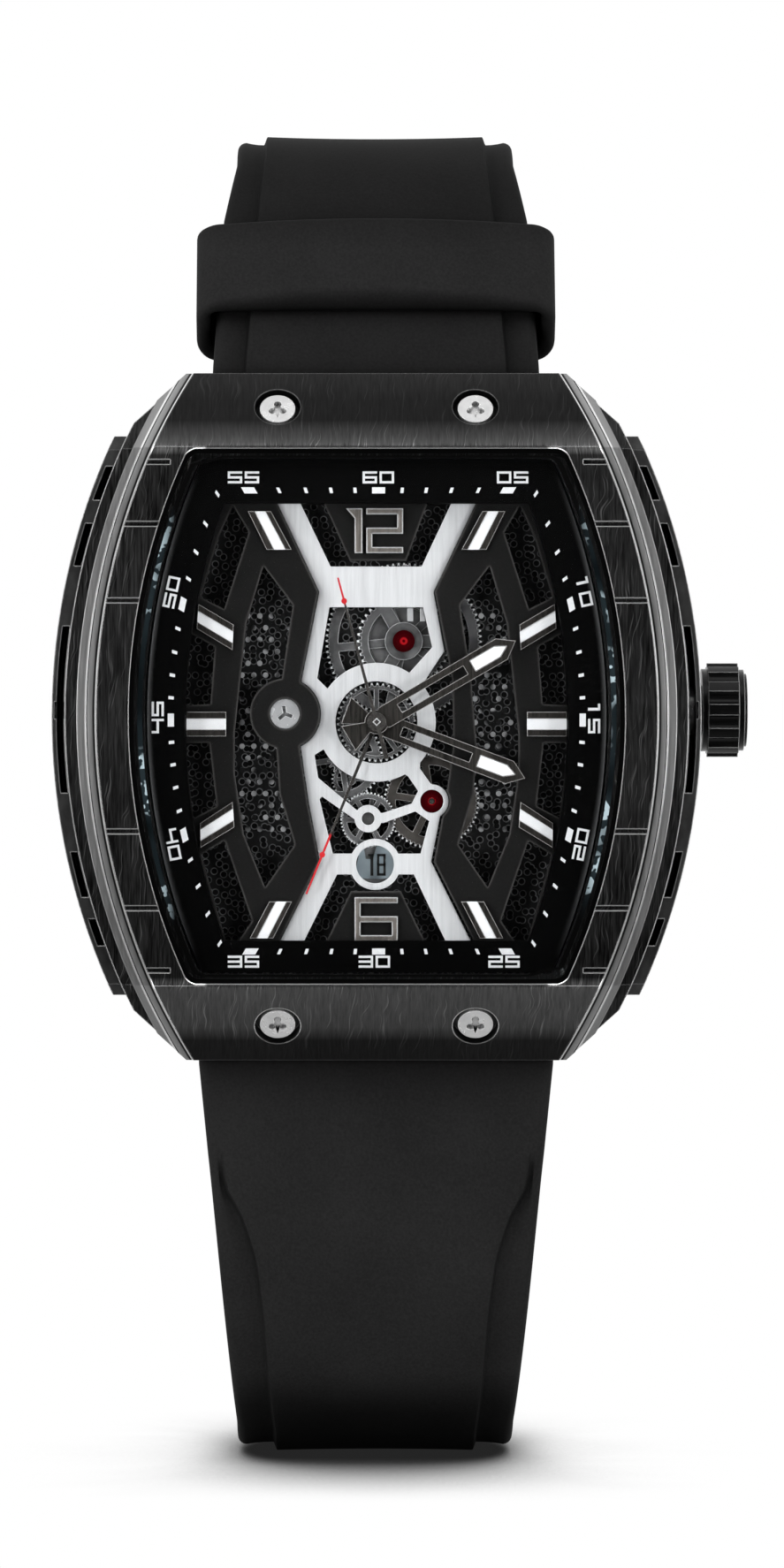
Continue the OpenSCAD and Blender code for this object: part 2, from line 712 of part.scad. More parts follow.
module balance_wheel() color(brass) stand() {
    translate(balance_at) {
        slab(level_k2 - 0.1, level_k2 + 0.2) difference() {
            circle(r = balance_r);
            difference() {
                circle(r = balance_r - 0.45);
                for (a = [0, 120, 240]) rotate(a) translate([0, -0.2]) square([balance_r, 0.4]);
                circle(r = 0.6);
            }
        }
        translate([0, 0, 3.7]) cylinder(r = pivot_r, h = 5.9 - 3.7, $fn = 24);
        translate([0, 0, 4.05]) cylinder(r = 0.5, h = 0.2, $fn = 24);
    }
}

module balance_cock() color(steel) stand() {
    difference() {
        union() {
            translate([balance_at[0], balance_at[1], train_bridge_h]) cylinder(r = 1.2, h = 0.5);
            intersection() {
                translate([balance_at[0] - 5, balance_at[1] - 0.9, train_bridge_h]) cube([5, 1.8, 0.5]);
                cylinder(r = movement_r - 0.2, h = 10, $fn = 128);
            }
        }
        translate([balance_at[0], balance_at[1], train_bridge_h + 0.25]) cylinder(r = pivot_r + run, h = 2);
    }
}

module escape_wheel() color(brass) stand() {
    translate(escape_at) {
        slab(escape_h, escape_h + k_t) difference() {
            outline([for (i = [0 : escape_teeth - 1], k = [[0, 2.1], [0.16, 2.1], [0.3, 1.6], [0.86, 1.6]])
                     k[1] * [cos((i + k[0]) * 360 / escape_teeth), sin((i + k[0]) * 360 / escape_teeth)]]);
            difference() {
                circle(r = 1.3);
                for (a = [0, 90, 180, 270]) rotate(a) translate([0, -0.12]) square([2, 0.24]);
                circle(r = 0.4);
            }
        }
        translate([0, 0, low_pivot_h]) cylinder(r = 0.15, h = level_k0 - 0.15 - low_pivot_h, $fn = 24);
    }
    pinion(escape_at, level_k2 - 0.06, level_k2 + 0.3, escape_pinion_teeth, escape_d - fourth_pitch, escape_turn);
}

pallet_at = escape_at + 3 * [cos(200), sin(200)];
module pallet_fork() color(steel) stand() {
    translate(pallet_at) rotate(200) slab(escape_h, escape_h + k_t) {
        circle(r = 0.35, $fn = 24);
        translate([0, -0.13]) square([1.6, 0.26]);
        for (s = [-1, 1]) outline([[0.2, -s * 0.2], [-0.35, s * 1.75], [-1.2, s * 1.9], [-1.15, s * 1.65],
                                   [-0.75, s * 1.5], [-0.2, -s * 0.1]]);
    }
    translate([pallet_at[0], pallet_at[1], low_pivot_h])
        cylinder(r = 0.12, h = escape_h + k_t - 0.02 - low_pivot_h, $fn = 24);
}

module centre_wheel() color(dark_grey) stand() {
    difference() {
        union() {
            slab(level_k0 - 0.1, minute_h) circle(r = cannon_out, $fn = 32);
            wheel([0, 0], level_k0, centre_teeth, centre_pitch, 0, 0.6, 0.9, 5, 0.5, 0);
            pinion([0, 0], level_a, level_a + wheel_t, centre_pinion_teeth, centre_pinion_pitch, 0);
            pinion([0, 0], level_b, level_b + wheel_t, cannon_teeth, cannon_pitch, 0);
        }
        cylinder(r = cannon_in, h = 20, $fn = 32);
    }
}

module seconds_wheel() color(brass) stand() {
    slab(train_bridge_h + 0.35, seconds_h) circle(r = seconds_r, $fn = 32);
    pinion([0, 0], level_k1, level_k1 + k_t, seconds_pinion_teeth, third_d - drive_pitch, seconds_turn);
    translate([0, 0, 0]) slab(level_k2, level_k2 + k_t) rotate(seconds_turn)
        spoked_shape(fourth_teeth, fourth_pitch, 0.4, 0.6, 4, 0.3);
}

module third_wheel() color(bronze) stand() {
    translate(third_at) slab(train_bridge_h + 0.35, bridge_h + 0.35) circle(r = pivot_r, $fn = 32);
    pinion(third_at, level_k0 - 0.02, level_k0 + wheel_t + 0.02, third_pinion_teeth,
           third_d - centre_pitch, third_turn);
    translate(third_at) slab(level_k1, level_k1 + k_t) rotate(third_turn)
        spoked_shape(drive_teeth, drive_pitch, 0.5, 0.7, 5, 0.4);
    wheel(third_at, level_b, third_teeth, third_front_r, third_turn, 0.75, 1.1, 5, 0.5, 0);
}

module minute_wheel() color(dark_grey) stand() {
    translate(minute_wheel_at) slab(main_plate_h + 0.1, level_c + wheel_t) circle(r = pivot_r, $fn = 32);
    pinion(minute_wheel_at, level_a, level_a + wheel_t, date_pinion_teeth, date_pinion_pitch, minute_wheel_turn);
    wheel(minute_wheel_at, level_b, minute_wheel_teeth, motion_d - cannon_pitch, minute_wheel_turn, 0.6, 0.8, 4, 0.4, 0);
    pinion(minute_wheel_at, level_c, level_c + wheel_t, minute_pinion_teeth,
           motion_d - hour_pitch, minute_wheel_turn);
}

module hour_wheel() color(dark_grey) stand() {
    difference() {
        union() {
            slab(level_c, hour_h) circle(r = hour_out, $fn = 32);
            wheel([0, 0], level_c, hour_wheel_teeth, hour_pitch, hour_wheel_turn, 0.35, 0.8, 5, 0.35, 0);
        }
        cylinder(r = hour_in, h = 20, $fn = 32);
    }
}

date_disc_in = 9;
drum_r = 2.42; // stays inside the teeth of the date disc
module date_idler() color(dark_grey) stand() {
    translate(date_idler_at) slab(main_plate_h + 0.1, level_a + wheel_t + 0.05) circle(r = pivot_r, $fn = 32);
    wheel(date_idler_at, level_a, date_idler_teeth, date_idler_pitch, date_idler_turn, 0.35, 0.45, 4, 0.25, 0);
}

date_front_teeth = 48;
date_front_r = 1.9; // clear of the date window
module date_wheel() color(dark_grey) stand() {
    translate(date_wheel_at) slab(main_plate_h + 0.1, level_c + wheel_t) circle(r = pivot_r, $fn = 32);
    wheel(date_wheel_at, level_a, date_wheel_teeth, date_wheel_teeth * date_tooth, date_wheel_turn, 0.4, 0.6, 5, 0.3, 0);
    wheel(date_wheel_at, level_c, date_front_teeth, date_front_r, 0, 0.4, 0.6, 6, 0.35, 0);
}

module date_disc() color(date_grey) stand() {
    slab(date_disc_h, date_disc_h + 0.12) difference() {
        circle(r = 11.1, $fn = 128);
        gear_shape(31, date_disc_in + 0.2);
    }
}

module barrel() color(dark_grey) stand() {
    difference() {
        union() {
            wheel(barrel_at, level_a, barrel_teeth, barrel_pitch, barrel_turn, 0.8, 1.2, 5, 0.6, 0);
            translate(barrel_at) slab(date_disc_h - 0.05, level_a + eps) circle(r = drum_r);
        }
        translate(barrel_at) cylinder(r = pivot_r + 0.2 + run, h = 20, $fn = 32);
    }
}

module ratchet_wheel() color(dark_grey) stand() {
    translate(barrel_at) {
        slab(main_plate_h + 0.1, main_plate_h + plate_t + 0.03) circle(r = pivot_r, $fn = 32);
        slab(main_plate_h + plate_t + 0.02, level_b + 0.1) circle(r = pivot_r + 0.2, $fn = 32);
    }
    wheel(barrel_at, level_b, ratchet_teeth, ratchet_r, 0, 0.7, 1.34, 3, 0.9, 0);
    translate(barrel_at) slab(level_b + wheel_t - eps, level_b + 0.5) circle(r = 1.34);
}

module ratchet_jewel() color(ruby) stand() {
    translate(barrel_at) slab(level_b + 0.5, level_b + 0.75) circle(r = 0.78);
}

module barrel_click() color(steel) stand() {
    translate([barrel_at[0] - 0.45, barrel_at[1] + 3.45]) slab(level_b + wheel_t + 0.05, bridge_h) {
        outline([[-0.5, 0], [0.1, -0.18], [1.6, 1.4], [0.6, 2]]);
    }
}

// Settings and jewels that show in the bridge
module jewels() color(ruby) stand() {
    translate(third_at) slab(bridge_h + 0.05, bridge_h + bridge_t - 0.05) difference() {
        circle(r = 0.8);
        circle(r = pivot_r + run);
    }
}

// Half outline points of the bridge and the frame beside it, left side
bridge_side = [[-7.22, 15.9], [-4.05, 9.2], [-5.31, 2.94], [-5.38, -1.69], [-4.81, -5.62], [-4, -9.85], [-7.05, -15.9]];

module bridge_shape() {
    difference() {
        union() {
            outline(concat(bridge_side,
                [[-5.35, -15.9], [-2.79, -10.75], [2.65, -10.75], [5.1, -15.9], [6.9, -15.9],
                 [3.88, -9.85], [4.8, -5.1], [3.8, -4.29], [3.07, -3.25], [3.45, 2.97], [4.8, 5.02],
                 [4.05, 9.2], [7.25, 15.9], [5.5, 15.9], [3.2, 11], [-3.25, 11], [-5.6, 15.9]]));
            circle(r = ring_r);
            translate(third_at) circle(r = setting_r);
            translate(date_window_at) circle(r = date_ring_r);
        }
        circle(r = ring_hole_r);
        translate(boss_at) circle(r = boss_r + gap);
        translate(date_window_at) circle(r = date_hole_r);
        translate(third_at) circle(r = 0.82);
        translate(date_wheel_at + [0, 0.09]) circle(r = 0.45);
        difference() {
            union() {
                outline([[-3.33, 8.13], [3.31, 8.13], [3.95, 5.3], [2.15, 3.3], [-3.3, 2.2], [-4.2, 3.1]]);
                outline([[-4.38, -2.31], [-3.72, -1.9], [0, -2.5], [2.24, -3.82], [2.95, -4.85], [2.5, -5.74],
                         [0.43, -6.41], [-1.39, -6.21], [-4.13, -3.92]]);
                outline([[-4.03, -5.43], [-3.85, -5.25], [-1.59, -6.83], [0.48, -7.12], [2.76, -6.3],
                         [3.74, -6.98], [3.12, -9.28], [-3.09, -9.28]]);
            }
            circle(r = ring_r);
            translate(third_at) circle(r = setting_r);
            translate(date_wheel_at + [0, 0.09]) circle(r = 0.97);
            translate(date_window_at) circle(r = date_ring_r);
        }
    }
}

module main_bridge() color(silver_white) stand()
    slab(bridge_h, bridge_h + bridge_t) intersection() {
        bridge_shape();
        dial_opening(0.5);
    }

// Opening of the flange, grown by a margin that lies under it
module dial_opening(margin)
    barrel_shape(flange_in_w + 2 * margin, flange_in_l + 2 * margin, side_r - 3.7);

windows = [
    [[-10.16, 15.29], [-9.04, 13.39], [-10.78, 7.98], [-12.45, 8.82], [-11.2, 13]],
    [[-8, 11], [-5.92, 8.26], [-6.7, 3.07], [-7.09, -1.81], [-6.88, -5.05], [-5.8, -8.64], [-7.88, -11.65],
     [-9.39, -7.92], [-10.04, -3.61], [-10.04, -0.74], [-9.21, 6.98]],
    [[-13.12, 6.25], [-11.44, 5.31], [-11.76, 1.27], [-13.55, 1.19]],
    [[-13.62, -1.46], [-11.83, -1.46], [-11.32, -5.91], [-12.97, -6.77]],
    [[-12.4, -9.35], [-10.75, -8.35], [-8.81, -14.02], [-9.75, -15.4], [-10.69, -15.4]]];

module frame_shape() {
    difference() {
        dial_opening(0.5);
        outline(concat([for (p = bridge_side) p + [-gap, 0]],
                       [for (i = [len(bridge_side) - 1 : -1 : 0]) [gap - bridge_side[i][0], bridge_side[i][1]]]));
        translate(third_at) circle(r = setting_r + gap);
        for (m = [0, 1], w = windows) mirror([m, 0]) outline(w);
    }
    translate(boss_at) circle(r = boss_r);
}

module dial_frame() color(charcoal) stand() {
    slab(frame_h, frame_h + frame_t) difference() {
        frame_shape();
        translate(boss_at) circle(r = 1.08);
    }
    // Wall that stands on the dial base and carries the bridge's feet
    slab(mesh_h + mesh_t, frame_h + eps) difference() {
        dial_opening(0.5);
        dial_opening(0.05);
    }
}

module dial_screw() color(steel) stand()
    translate(boss_at) difference() {
        slab(frame_h, frame_h + frame_t - 0.1) circle(r = 1.05);
        translate([0, 0, frame_h + frame_t - 0.35]) for (a = [100, 220, 340]) rotate(a)
            translate([0, -0.12, 0]) cube([0.55, 0.24, 1]);
    }

plate_12 = [[-3.84, 15.7], [3.71, 15.7], [2.11, 11.41], [-1.89, 11.41]];
plate_6 = [[-1.81, -11.93], [1.73, -11.93], [3.54, -15.7], [-3.66, -15.7]];
module numeral_plates() color(charcoal) stand()
    slab(frame_h, frame_h + frame_t - 0.3) for (p = [plate_12, plate_6]) outline(p);

// Outlines of the applied numerals, as strokes on a squared grid
digit_t = 0.42;
module stroke(x, y, w, h) translate([x, y]) square([w, h]);
module digit_1(h) {
    stroke(0.6, 0, 0.55, h);
    outline([[0.6, h], [0, h], [0.6, h - 0.7]]);
}
module digit_2(h, w) {
    stroke(0, 0, w, digit_t);
    stroke(0, 0, digit_t, h / 2 + digit_t / 2);
    stroke(0, h / 2 - digit_t / 2, w, digit_t);
    stroke(w - digit_t, h / 2, digit_t, h / 2);
    stroke(0, h - digit_t, w, digit_t);
}
module digit_6(h, w) {
    stroke(0, 0, w, digit_t);
    stroke(0, 0, digit_t, h);
    stroke(0, h / 2 - digit_t / 2, w, digit_t);
    stroke(w - digit_t, 0, digit_t, h / 2);
    stroke(0, h - digit_t, w, digit_t);
}
module numerals() color(bronze) stand() slab(frame_h + frame_t - 0.3, frame_h + frame_t + 0.15) {
    translate([-2.15, 11.93]) digit_1(3.15);
    translate([-0.72, 11.93]) digit_2(3.15, 2.6);
    translate([-1.55, -15.45]) digit_6(3.1, 3.05);
}

// Hour markers: outline and the white stripe in it, by the hour
marker_shapes = [
    [11, [[-9.1, 14.86], [-7.47, 14.86], [-6.01, 12.16], [-7.77, 12.16]]],
    [10, [[-12.59, 8.32], [-10.11, 6.87], [-10.19, 5.08], [-12.71, 6.59]]],
    [9, [[-13.44, 0.72], [-10.64, 0.72], [-10.64, -1], [-13.44, -1]]],
    [8, [[-12.47, -7.12], [-10.18, -5.62], [-10.06, -7.41], [-12.44, -8.85]]],
    [7, [[-7.59, -12.65], [-5.98, -12.65], [-7.31, -15.24], [-8.96, -15.24]]]];

function between(a, b, t) = a + (b - a) * t;
// Stripe in the middle of a marker between its two long edges
function stripe(p, end) = end
    ? [between(p[0], p[1], 0.3), between(p[0], p[1], 0.75), between(p[3], p[2], 0.75), between(p[3], p[2], 0.3)]
    : [between(p[0], p[3], 0.28), between(p[1], p[2], 0.28), between(p[1], p[2], 0.72), between(p[0], p[3], 0.72)];

groove_h = 0.2; // thickness of a marker under its stripe

module hour_markers() color(bronze) stand() for (m = [0, 1], s = marker_shapes) mirror([m, 0, 0]) difference() {
    slab(marker_h, marker_h + marker_t) outline(s[1]);
    slab(marker_h + groove_h, marker_h + 2) outline(stripe(s[1], s[0] == 11 || s[0] == 7));
}

module marker_lume() color(lume_white) stand() for (m = [0, 1], s = marker_shapes) mirror([m, 0, 0])
    slab(marker_h + groove_h, marker_h + marker_t - 0.05) outline(stripe(s[1], s[0] == 11 || s[0] == 7));

module chapter_ring() color("#1d1d1e") stand() {
    difference() {
        layer(case_h - crystal_low + 0.05, case_h)
            barrel_shape(cavity_w - 2 * gap, cavity_l - 0.6, side_r - 3.4);
        slab(-1, case_h) dial_opening(0);
        translate([-30, -30, -1]) cube([60, 60, mesh_h + mesh_t + 1]);
        // Rebate over the dial frame
        slab(-1, marker_h + 0.1) dial_opening(0.6);
    }
}

module dial_mesh() color("#141414") stand() {
    slab(mesh_h, mesh_h + mesh_t) difference() {
        translate([0, 0]) barrel_shape(cavity_w - 0.4, cavity_l - 1, side_r - 3.4);
        circle(r = hour_out + 0.2);
        translate(barrel_at) circle(r = drum_r + 0.2);
        translate(third_at) circle(r = 0.4);
        for (p = [minute_wheel_at, date_idler_at, date_wheel_at]) translate(p) circle(r = 0.35);
        translate(date_window_at) circle(r = 1.45);
    }
}

// Perforated side plates and the rows of pins on them
pin_pitch = 0.84;
module pin_plate_shape() outline([[-7.7, 8.6], [-6.1, 8.2], [-5.9, 3.07], [-5.9, -8.7], [-7.9, -9.4], [-10.4, -7.9], [-10.6, 7]]);
module pin_plates() color("#1a1a1b") stand()
    slab(mesh_h + mesh_t, pin_h) for (m = [0, 1]) mirror([m, 0]) intersection() {
        pin_plate_shape();
        dial_opening(0);
    }
module dial_pins() color(steel) stand()
    for (m = [0, 1]) mirror([m, 0, 0])
        for (row = [-9 : 9], col = [0 : 4])
            translate([-9.55 + col * pin_pitch + (row % 2 == 0 ? 0 : pin_pitch / 2), row * pin_pitch, pin_h])
                if (col < 4 || row % 2 == 0) cylinder(r = 0.19, h = 0.2, $fn = 16);

// Outline of a skeleton hand that points up, with the slot behind its tip
module hand_shape(length, w, hub_in) {
    difference() {
        union() {
            outline([[-w / 2 + 0.05, 0.6], [-w / 2, length - 1.15], [0, length], [w / 2, length - 1.15], [w / 2 - 0.05, 0.6],
                     [0, -0.3]]);
            outline([[0, 0.3], [-1, -2.3], [1, -2.3]]);
            circle(r = 0.85);
        }
        circle(r = hub_in, $fn = 32);
        translate([-0.33, 1.9]) square([0.66, length - 6]);
        outline([[-0.42, length - 3.5], [-0.42, length - 1.5], [0, length - 0.75], [0.42, length - 1.5], [0.42, length - 3.5]]);
    }
}
module hand_lume(length)
    outline([[-0.4, length - 3.48], [-0.4, length - 1.52], [0, length - 0.79], [0.4, length - 1.52], [0.4, length - 3.48]]);

module hour_hand() color(bronze) stand()
    slab(hour_h, hour_h + hand_t) rotate(-hour_deg) hand_shape(hour_len, hand_w, cannon_out + run);
module hour_hand_lume() color(lume_white) stand()
    slab(hour_h + 0.02, hour_h + hand_t - 0.02) rotate(-hour_deg) hand_lume(hour_len);
// The 24-hour hand turns on the tube of the hour wheel
module day_hand() color(bronze) stand() {
    difference() {
        union() {
            slab(day_h, day_h + 0.18) rotate(-day_deg) {
                outline([[-0.13, 0], [-0.06, day_len], [0.06, day_len], [0.13, 0]]);
                translate([0, day_len - 3]) circle(r = 0.2, $fn = 24);
            }
            slab(level_c + wheel_t + 0.05, day_h + 0.18) circle(r = day_out, $fn = 32);
        }
        cylinder(r = day_in, h = 20, $fn = 32);
    }
}
module minute_hand() color(bronze) stand()
    slab(minute_h, minute_h + hand_t) rotate(-minute_deg) hand_shape(minute_len, hand_w, seconds_r + run);
module minute_hand_lume() color(lume_white) stand()
    slab(minute_h + 0.02, minute_h + hand_t - 0.02) rotate(-minute_deg) hand_lume(minute_len);

seconds_hub_r = 0.66;
module seconds_hand() color(bronze) stand()
    slab(seconds_h, seconds_h + 0.18) rotate(-seconds_deg) {
        outline([[-0.13, 0], [-0.06, seconds_len], [0.06, seconds_len], [0.13, 0]]);
        outline([[-0.1, 0], [-0.17, -2.7], [0.17, -2.7], [0.1, 0]]);
        circle(r = seconds_hub_r);
        translate([0, seconds_len - 1.7]) circle(r = 0.2, $fn = 24);
    }

module movement_ring() color("#3a3a3b") stand() {
    slab(train_bridge_h + 0.3, mesh_h) difference() {
        translate([0, case_off]) barrel_shape(cavity_w - 2 * gap, cavity_l - 2 * gap, side_r - 3.2);
        circle(r = movement_r + gap, $fn = 128);
        translate([movement_r - 1, crown_y - stem_r - 0.2]) square([6, 2 * stem_r + 0.4]);
    }
}

// A strap half, seen from the side as (y, z): it leaves the case level,
// turns back by lean at once, runs straight, bends round the end of the
// loop and runs straight along the back of the loop.
lug_y = -(slot_low + slot_high) / 2;
upper_start = case_l / 2 - end_step + case_off + 0.1;
lower_start = case_l / 2 - end_step - case_off + 0.1;
lower_depth = loop_depth + strap_t + 0.25;
function tip_y(lean) = lug_y + strap_t / 2 * (1 - cos(lean));
// Radius of the bend and length of the straight run before it, for a
// loop whose end is at crest and whose back is at rear
function bend_r(lean, run_len, rear) = (rear - tip_y(lean) - run_len * sin(lean)) / (1 + cos(lean));
function front_run(start, lean, crest, rear) =
    (crest - start - strap_t / 2 * sin(lean) - (rear - tip_y(lean)) * (1 - sin(lean)) / (1 + cos(lean)))
    / (cos(lean) - sin(lean) * (1 - sin(lean)) / (1 + cos(lean)));

// Side profile of the space inside a strap half, out to a distance d from
// the middle line, with its two open ends moved on by extra. The disc of
// the bend stands out by a hair from the straight runs that meet it.
module inside_strap(start, lean, crest, rear, tail, d, extra) {
    r = bend_r(lean, front_run(start, lean, crest, rear), rear);
    centre = [rear - r, crest - r];
    close_y = lug_y + 0.65 * strap_t + 0.3 * d;
    translate(centre) circle(r = r + d, $fn = 128);
    outline([[lug_y - d, start - extra], [lug_y - d, start + (strap_t / 2 + d) * tan(lean / 2)],
             centre + (r + d - hair / 4) * [-cos(lean), sin(lean)], [rear + d - hair / 4, crest - r],
             [rear + d - hair / 4, tail - extra], [close_y, tail - extra], [close_y, start - extra]]);
}

// Side profile between two distances from the middle line
module strap_profile(start, lean, crest, rear, tail, inner, outer, extra) difference() {
    inside_strap(start, lean, crest, rear, tail, outer, extra);
    inside_strap(start, lean, crest, rear, tail, inner, extra + 1);
}

// Block as wide as the front outline before the bend's crest and as wide as
// rear behind it. The outline is a list of [height, half width].
module width_block(list, rear, split_y) {
    ring = concat([for (p = list) [p[1], p[0]]], [for (i = [len(list) - 1 : -1 : 0]) [-list[i][1], list[i][0]]]);
    translate([0, split_y, 0]) rotate([90, 0, 0]) linear_extrude(height = split_y + 12) outline(ring);
    translate([-rear, split_y - eps, -60]) cube([2 * rear, 40, 200]);
}

// edge and panel give the width of the whole strap and of its raised middle
module strap_half(start, lean, crest, rear, tail, edge, panel) {
    split_y = rear - bend_r(lean, front_run(start, lean, crest, rear), rear);
    last = len(edge) - 1;
    panel_last = len(panel) - 1;
    difference() {
        intersection() {
            across(60) strap_profile(start, lean, crest, rear, tail, -strap_t / 2, strap_t / 2, 0);
            width_block(edge, edge[last][1], split_y);
        }
        // Ledges beside the raised middle
        difference() {
            across(58) strap_profile(start, lean, crest, rear, tail, strap_t / 2 - ledge_d, strap_t / 2 + 1, 1);
            width_block(panel, panel[panel_last][1], split_y);
        }
    }
}

upper_crest = loop_top - strap_t / 2;
lower_crest = loop_bottom - strap_t / 2;
bar_z = -3;
tail_end = 22;

module strap_tongue(w, end) {
    difference() {
        stand() translate([-w / 2, 0, slot_low + gap]) {
            translate([0, end > 0 ? slot_y + case_off + gap : -case_l / 2 + case_off - gap, 0])
                cube([w, case_l / 2 - slot_y, slot_high - slot_low - 2 * gap]);
        }
        stand() at_strap_screws() translate([0, 0, 0]) cylinder(r = 0.5 + gap, h = 3.6);
    }
}

module strap_upper() color(rubber) {
    difference() {
        union() {
            strap_half(upper_start, upper_tilt, upper_crest, loop_depth, bar_z,
                [[20, upper_w / 2], [25, upper_w / 2], [36, 11], [loop_top - 3.2, rear_w / 2], [loop_top + 1, rear_w / 2]],
                [[18, 9.3], [25, 9.25], [30, 8.85], [36, 8.4], [loop_top - 3.2, 7.9], [loop_top + 3, 7.9]]);
            strap_tongue(upper_w, 1);
            translate([0, loop_depth, bar_z]) rotate([0, 90, 0])
                cylinder(r = strap_t / 2, h = rear_w, center = true);
        }
        translate([0, loop_depth, bar_z]) rotate([0, 90, 0]) cylinder(r = bar_r + gap, h = 40, center = true);
        translate([-tang_w / 2 - 0.3, loop_depth - 4, bar_z - 5]) cube([tang_w + 0.6, 8, 6.8]);
    }
}

module strap_lower() color(rubber) {
    difference() {
        union() {
            mirror([0, 0, 1]) strap_half(lower_start, lower_tilt, lower_crest, lower_depth, -tail_end,
                [[20, lower_w / 2], [24.1, lower_w / 2], [loop_bottom - 3.2, rear_w / 2], [loop_bottom + 1, rear_w / 2]],
                [[18, 14], [30.3, 14], [30.5, 12.1], [32.7, 10.85], [35.4, 9.45], [38.3, 8.5], [41.9, 8], [46.8, 7.6],
                 [loop_bottom - 3.2, 7.2], [loop_bottom + 3, 7.2]]);
            strap_tongue(lower_w, -1);
        }
        // Buckle holes, 7 mm apart
        for (z = [bar_z - 2.2 : 7 : tail_end - 3]) if (z < bar_z || z > bar_z + 1)
            translate([-1.25, lower_depth - 4, z - 1.8]) cube([2.5, 8, 3.6]);
        translate([-1.25, lower_depth - 4, bar_z - 9.2 - 1.8]) cube([2.5, 8, 3.6]);
    }
}

// Rectangle with rounded corners, centred
module round_rect(w, h, r) {
    square([w - 2 * r, h], center = true);
    square([w, h - 2 * r], center = true);
    for (x = [-1, 1], y = [-1, 1]) translate([x * (w / 2 - r), y * (h / 2 - r)]) circle(r = r);
}

// Band round a strap, with a face that bows out by bow
module loop_band(w, inner_t, length, bow) linear_extrude(height = length) difference() {
    wide = w + 2 * keeper_gap + 2 * keeper_t;
    deep = inner_t + 2 * keeper_gap + 2 * keeper_t;
    bow_half = wide / 2 - 1.6;
    bow_r = (bow_half * bow_half + bow * bow) / (2 * bow + eps);
    union() {
        round_rect(wide, deep, 1.6);
        intersection() {
            translate([0, bow_r - deep / 2 - bow]) circle(r = bow_r, $fn = 128);
            translate([-bow_half, -deep / 2 - bow - 1]) square([2 * bow_half, bow + 2]);
        }
    }
    round_rect(w + 2 * keeper_gap, inner_t + 2 * keeper_gap, 0.4);
}

// The front keeper stands on the tilted strap, and its near end slants
// down towards the back.
keeper_slant = 20;
module keeper() color(rubber)
    translate([0, tip_y(upper_tilt), upper_start + strap_t / 2 * sin(upper_tilt)])
        rotate([-upper_tilt, 0, 0]) difference() {
            translate([0, 0, keeper_start - 3]) loop_band(upper_w, strap_t, keeper_end - keeper_start + 3, keeper_bow);
            translate([0, -strap_t / 2 - keeper_t, keeper_start]) rotate([-keeper_slant, 0, 0])
                translate([-30, -30, -20]) cube([60, 60, 20]);
        }

tail_keeper_z = 3;
module tail_keeper() color(rubber)
    translate([0, (loop_depth + lower_depth) / 2, tail_keeper_z])
        loop_band(rear_w, lower_depth - loop_depth + strap_t, 5, 0);

module buckle_bar() color(steel)
    translate([0, loop_depth, bar_z]) rotate([0, 90, 0])
        cylinder(r = bar_r, h = rear_w + 2 * 0.3 + 2 * buckle_t - 0.4, center = true);

far_y = lower_depth + strap_t / 2 + 0.3 + buckle_t / 2;
module buckle_frame() color(steel) {
    for (s = [-1, 1]) translate([s * (rear_w / 2 + 0.3 + buckle_t / 2), 0, 0]) across(buckle_t) difference() {
        union() {
            translate([loop_depth, bar_z]) circle(r = 1.3);
            translate([far_y, bar_z - buckle_len]) circle(r = buckle_t / 2);
            outline([[loop_depth - 0.9, bar_z - 0.9], [loop_depth + 1.1, bar_z + 0.6],
                     [far_y + 0.95, bar_z - buckle_len + 0.5], [far_y - 0.85, bar_z - buckle_len - 0.6]]);
        }
        translate([loop_depth, bar_z]) circle(r = bar_r + run);
    }
    translate([0, far_y, bar_z - buckle_len]) rotate([0, 90, 0])
        cylinder(r = buckle_t / 2, h = rear_w + 0.7, center = true);
}

module buckle_tang() color(steel) {
    top = far_y + buckle_t / 2 + 0.35;
    across(tang_w) difference() {
        union() {
            translate([loop_depth, bar_z]) circle(r = 1.2);
            outline([[loop_depth - 0.9, bar_z - 0.8], [loop_depth + 0.6, bar_z - 1], [top - 3, bar_z - 2.3],
                     [top - 1.2, bar_z - 2.3], [top + 1.1, bar_z - buckle_len - 1.2],
                     [top + 0.1, bar_z - buckle_len - 1.2], [top - 2.2, bar_z - 3.7],
                     [loop_depth + 1, bar_z - 3.5], [loop_depth - 0.4, bar_z - 1.2]]);
        }
        translate([loop_depth, bar_z]) circle(r = bar_r + run);
    }
}

bezel();
bezel_screws();
crystal();
crystal_gasket();
case_middle();
side_rail_left();
side_rail_right();
crown_tube();
case_back();
back_glass();
back_gasket();
back_screws();
strap_screws();
movement_ring();
main_plate();
train_bridge();
balance_cock();
jewels();
chapter_ring();
dial_mesh();
pin_plates();
dial_pins();
dial_frame();
dial_screw();
main_bridge();
numeral_plates();
numerals();
hour_markers();
marker_lume();
barrel_click();
strap_upper();
strap_lower();
buckle_bar();
minute_hand();
minute_hand_lume();
centre_wheel();
hour_hand();
hour_hand_lume();
hour_wheel();
day_hand();
seconds_hand();
seconds_wheel();
barrel();
ratchet_wheel();
ratchet_jewel();
minute_wheel();
third_wheel();
date_idler();
date_wheel();
date_disc();
escape_wheel();
pallet_fork();
balance_wheel();
rotor();
winding_stem();
crown();
keeper();
tail_keeper();
buckle_frame();
buckle_tang();
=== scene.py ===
"""Finishes, straps and dial printing of the tonneau skeleton watch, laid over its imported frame.

Lengths are millimetres with the names and values of the part's source, and MM
turns them into metres. Heights h count forward from the outer face of the case
back, so a point of the watch head at (x, z, h) lies at X = x, Y = -h, Z = z.
"""

import json

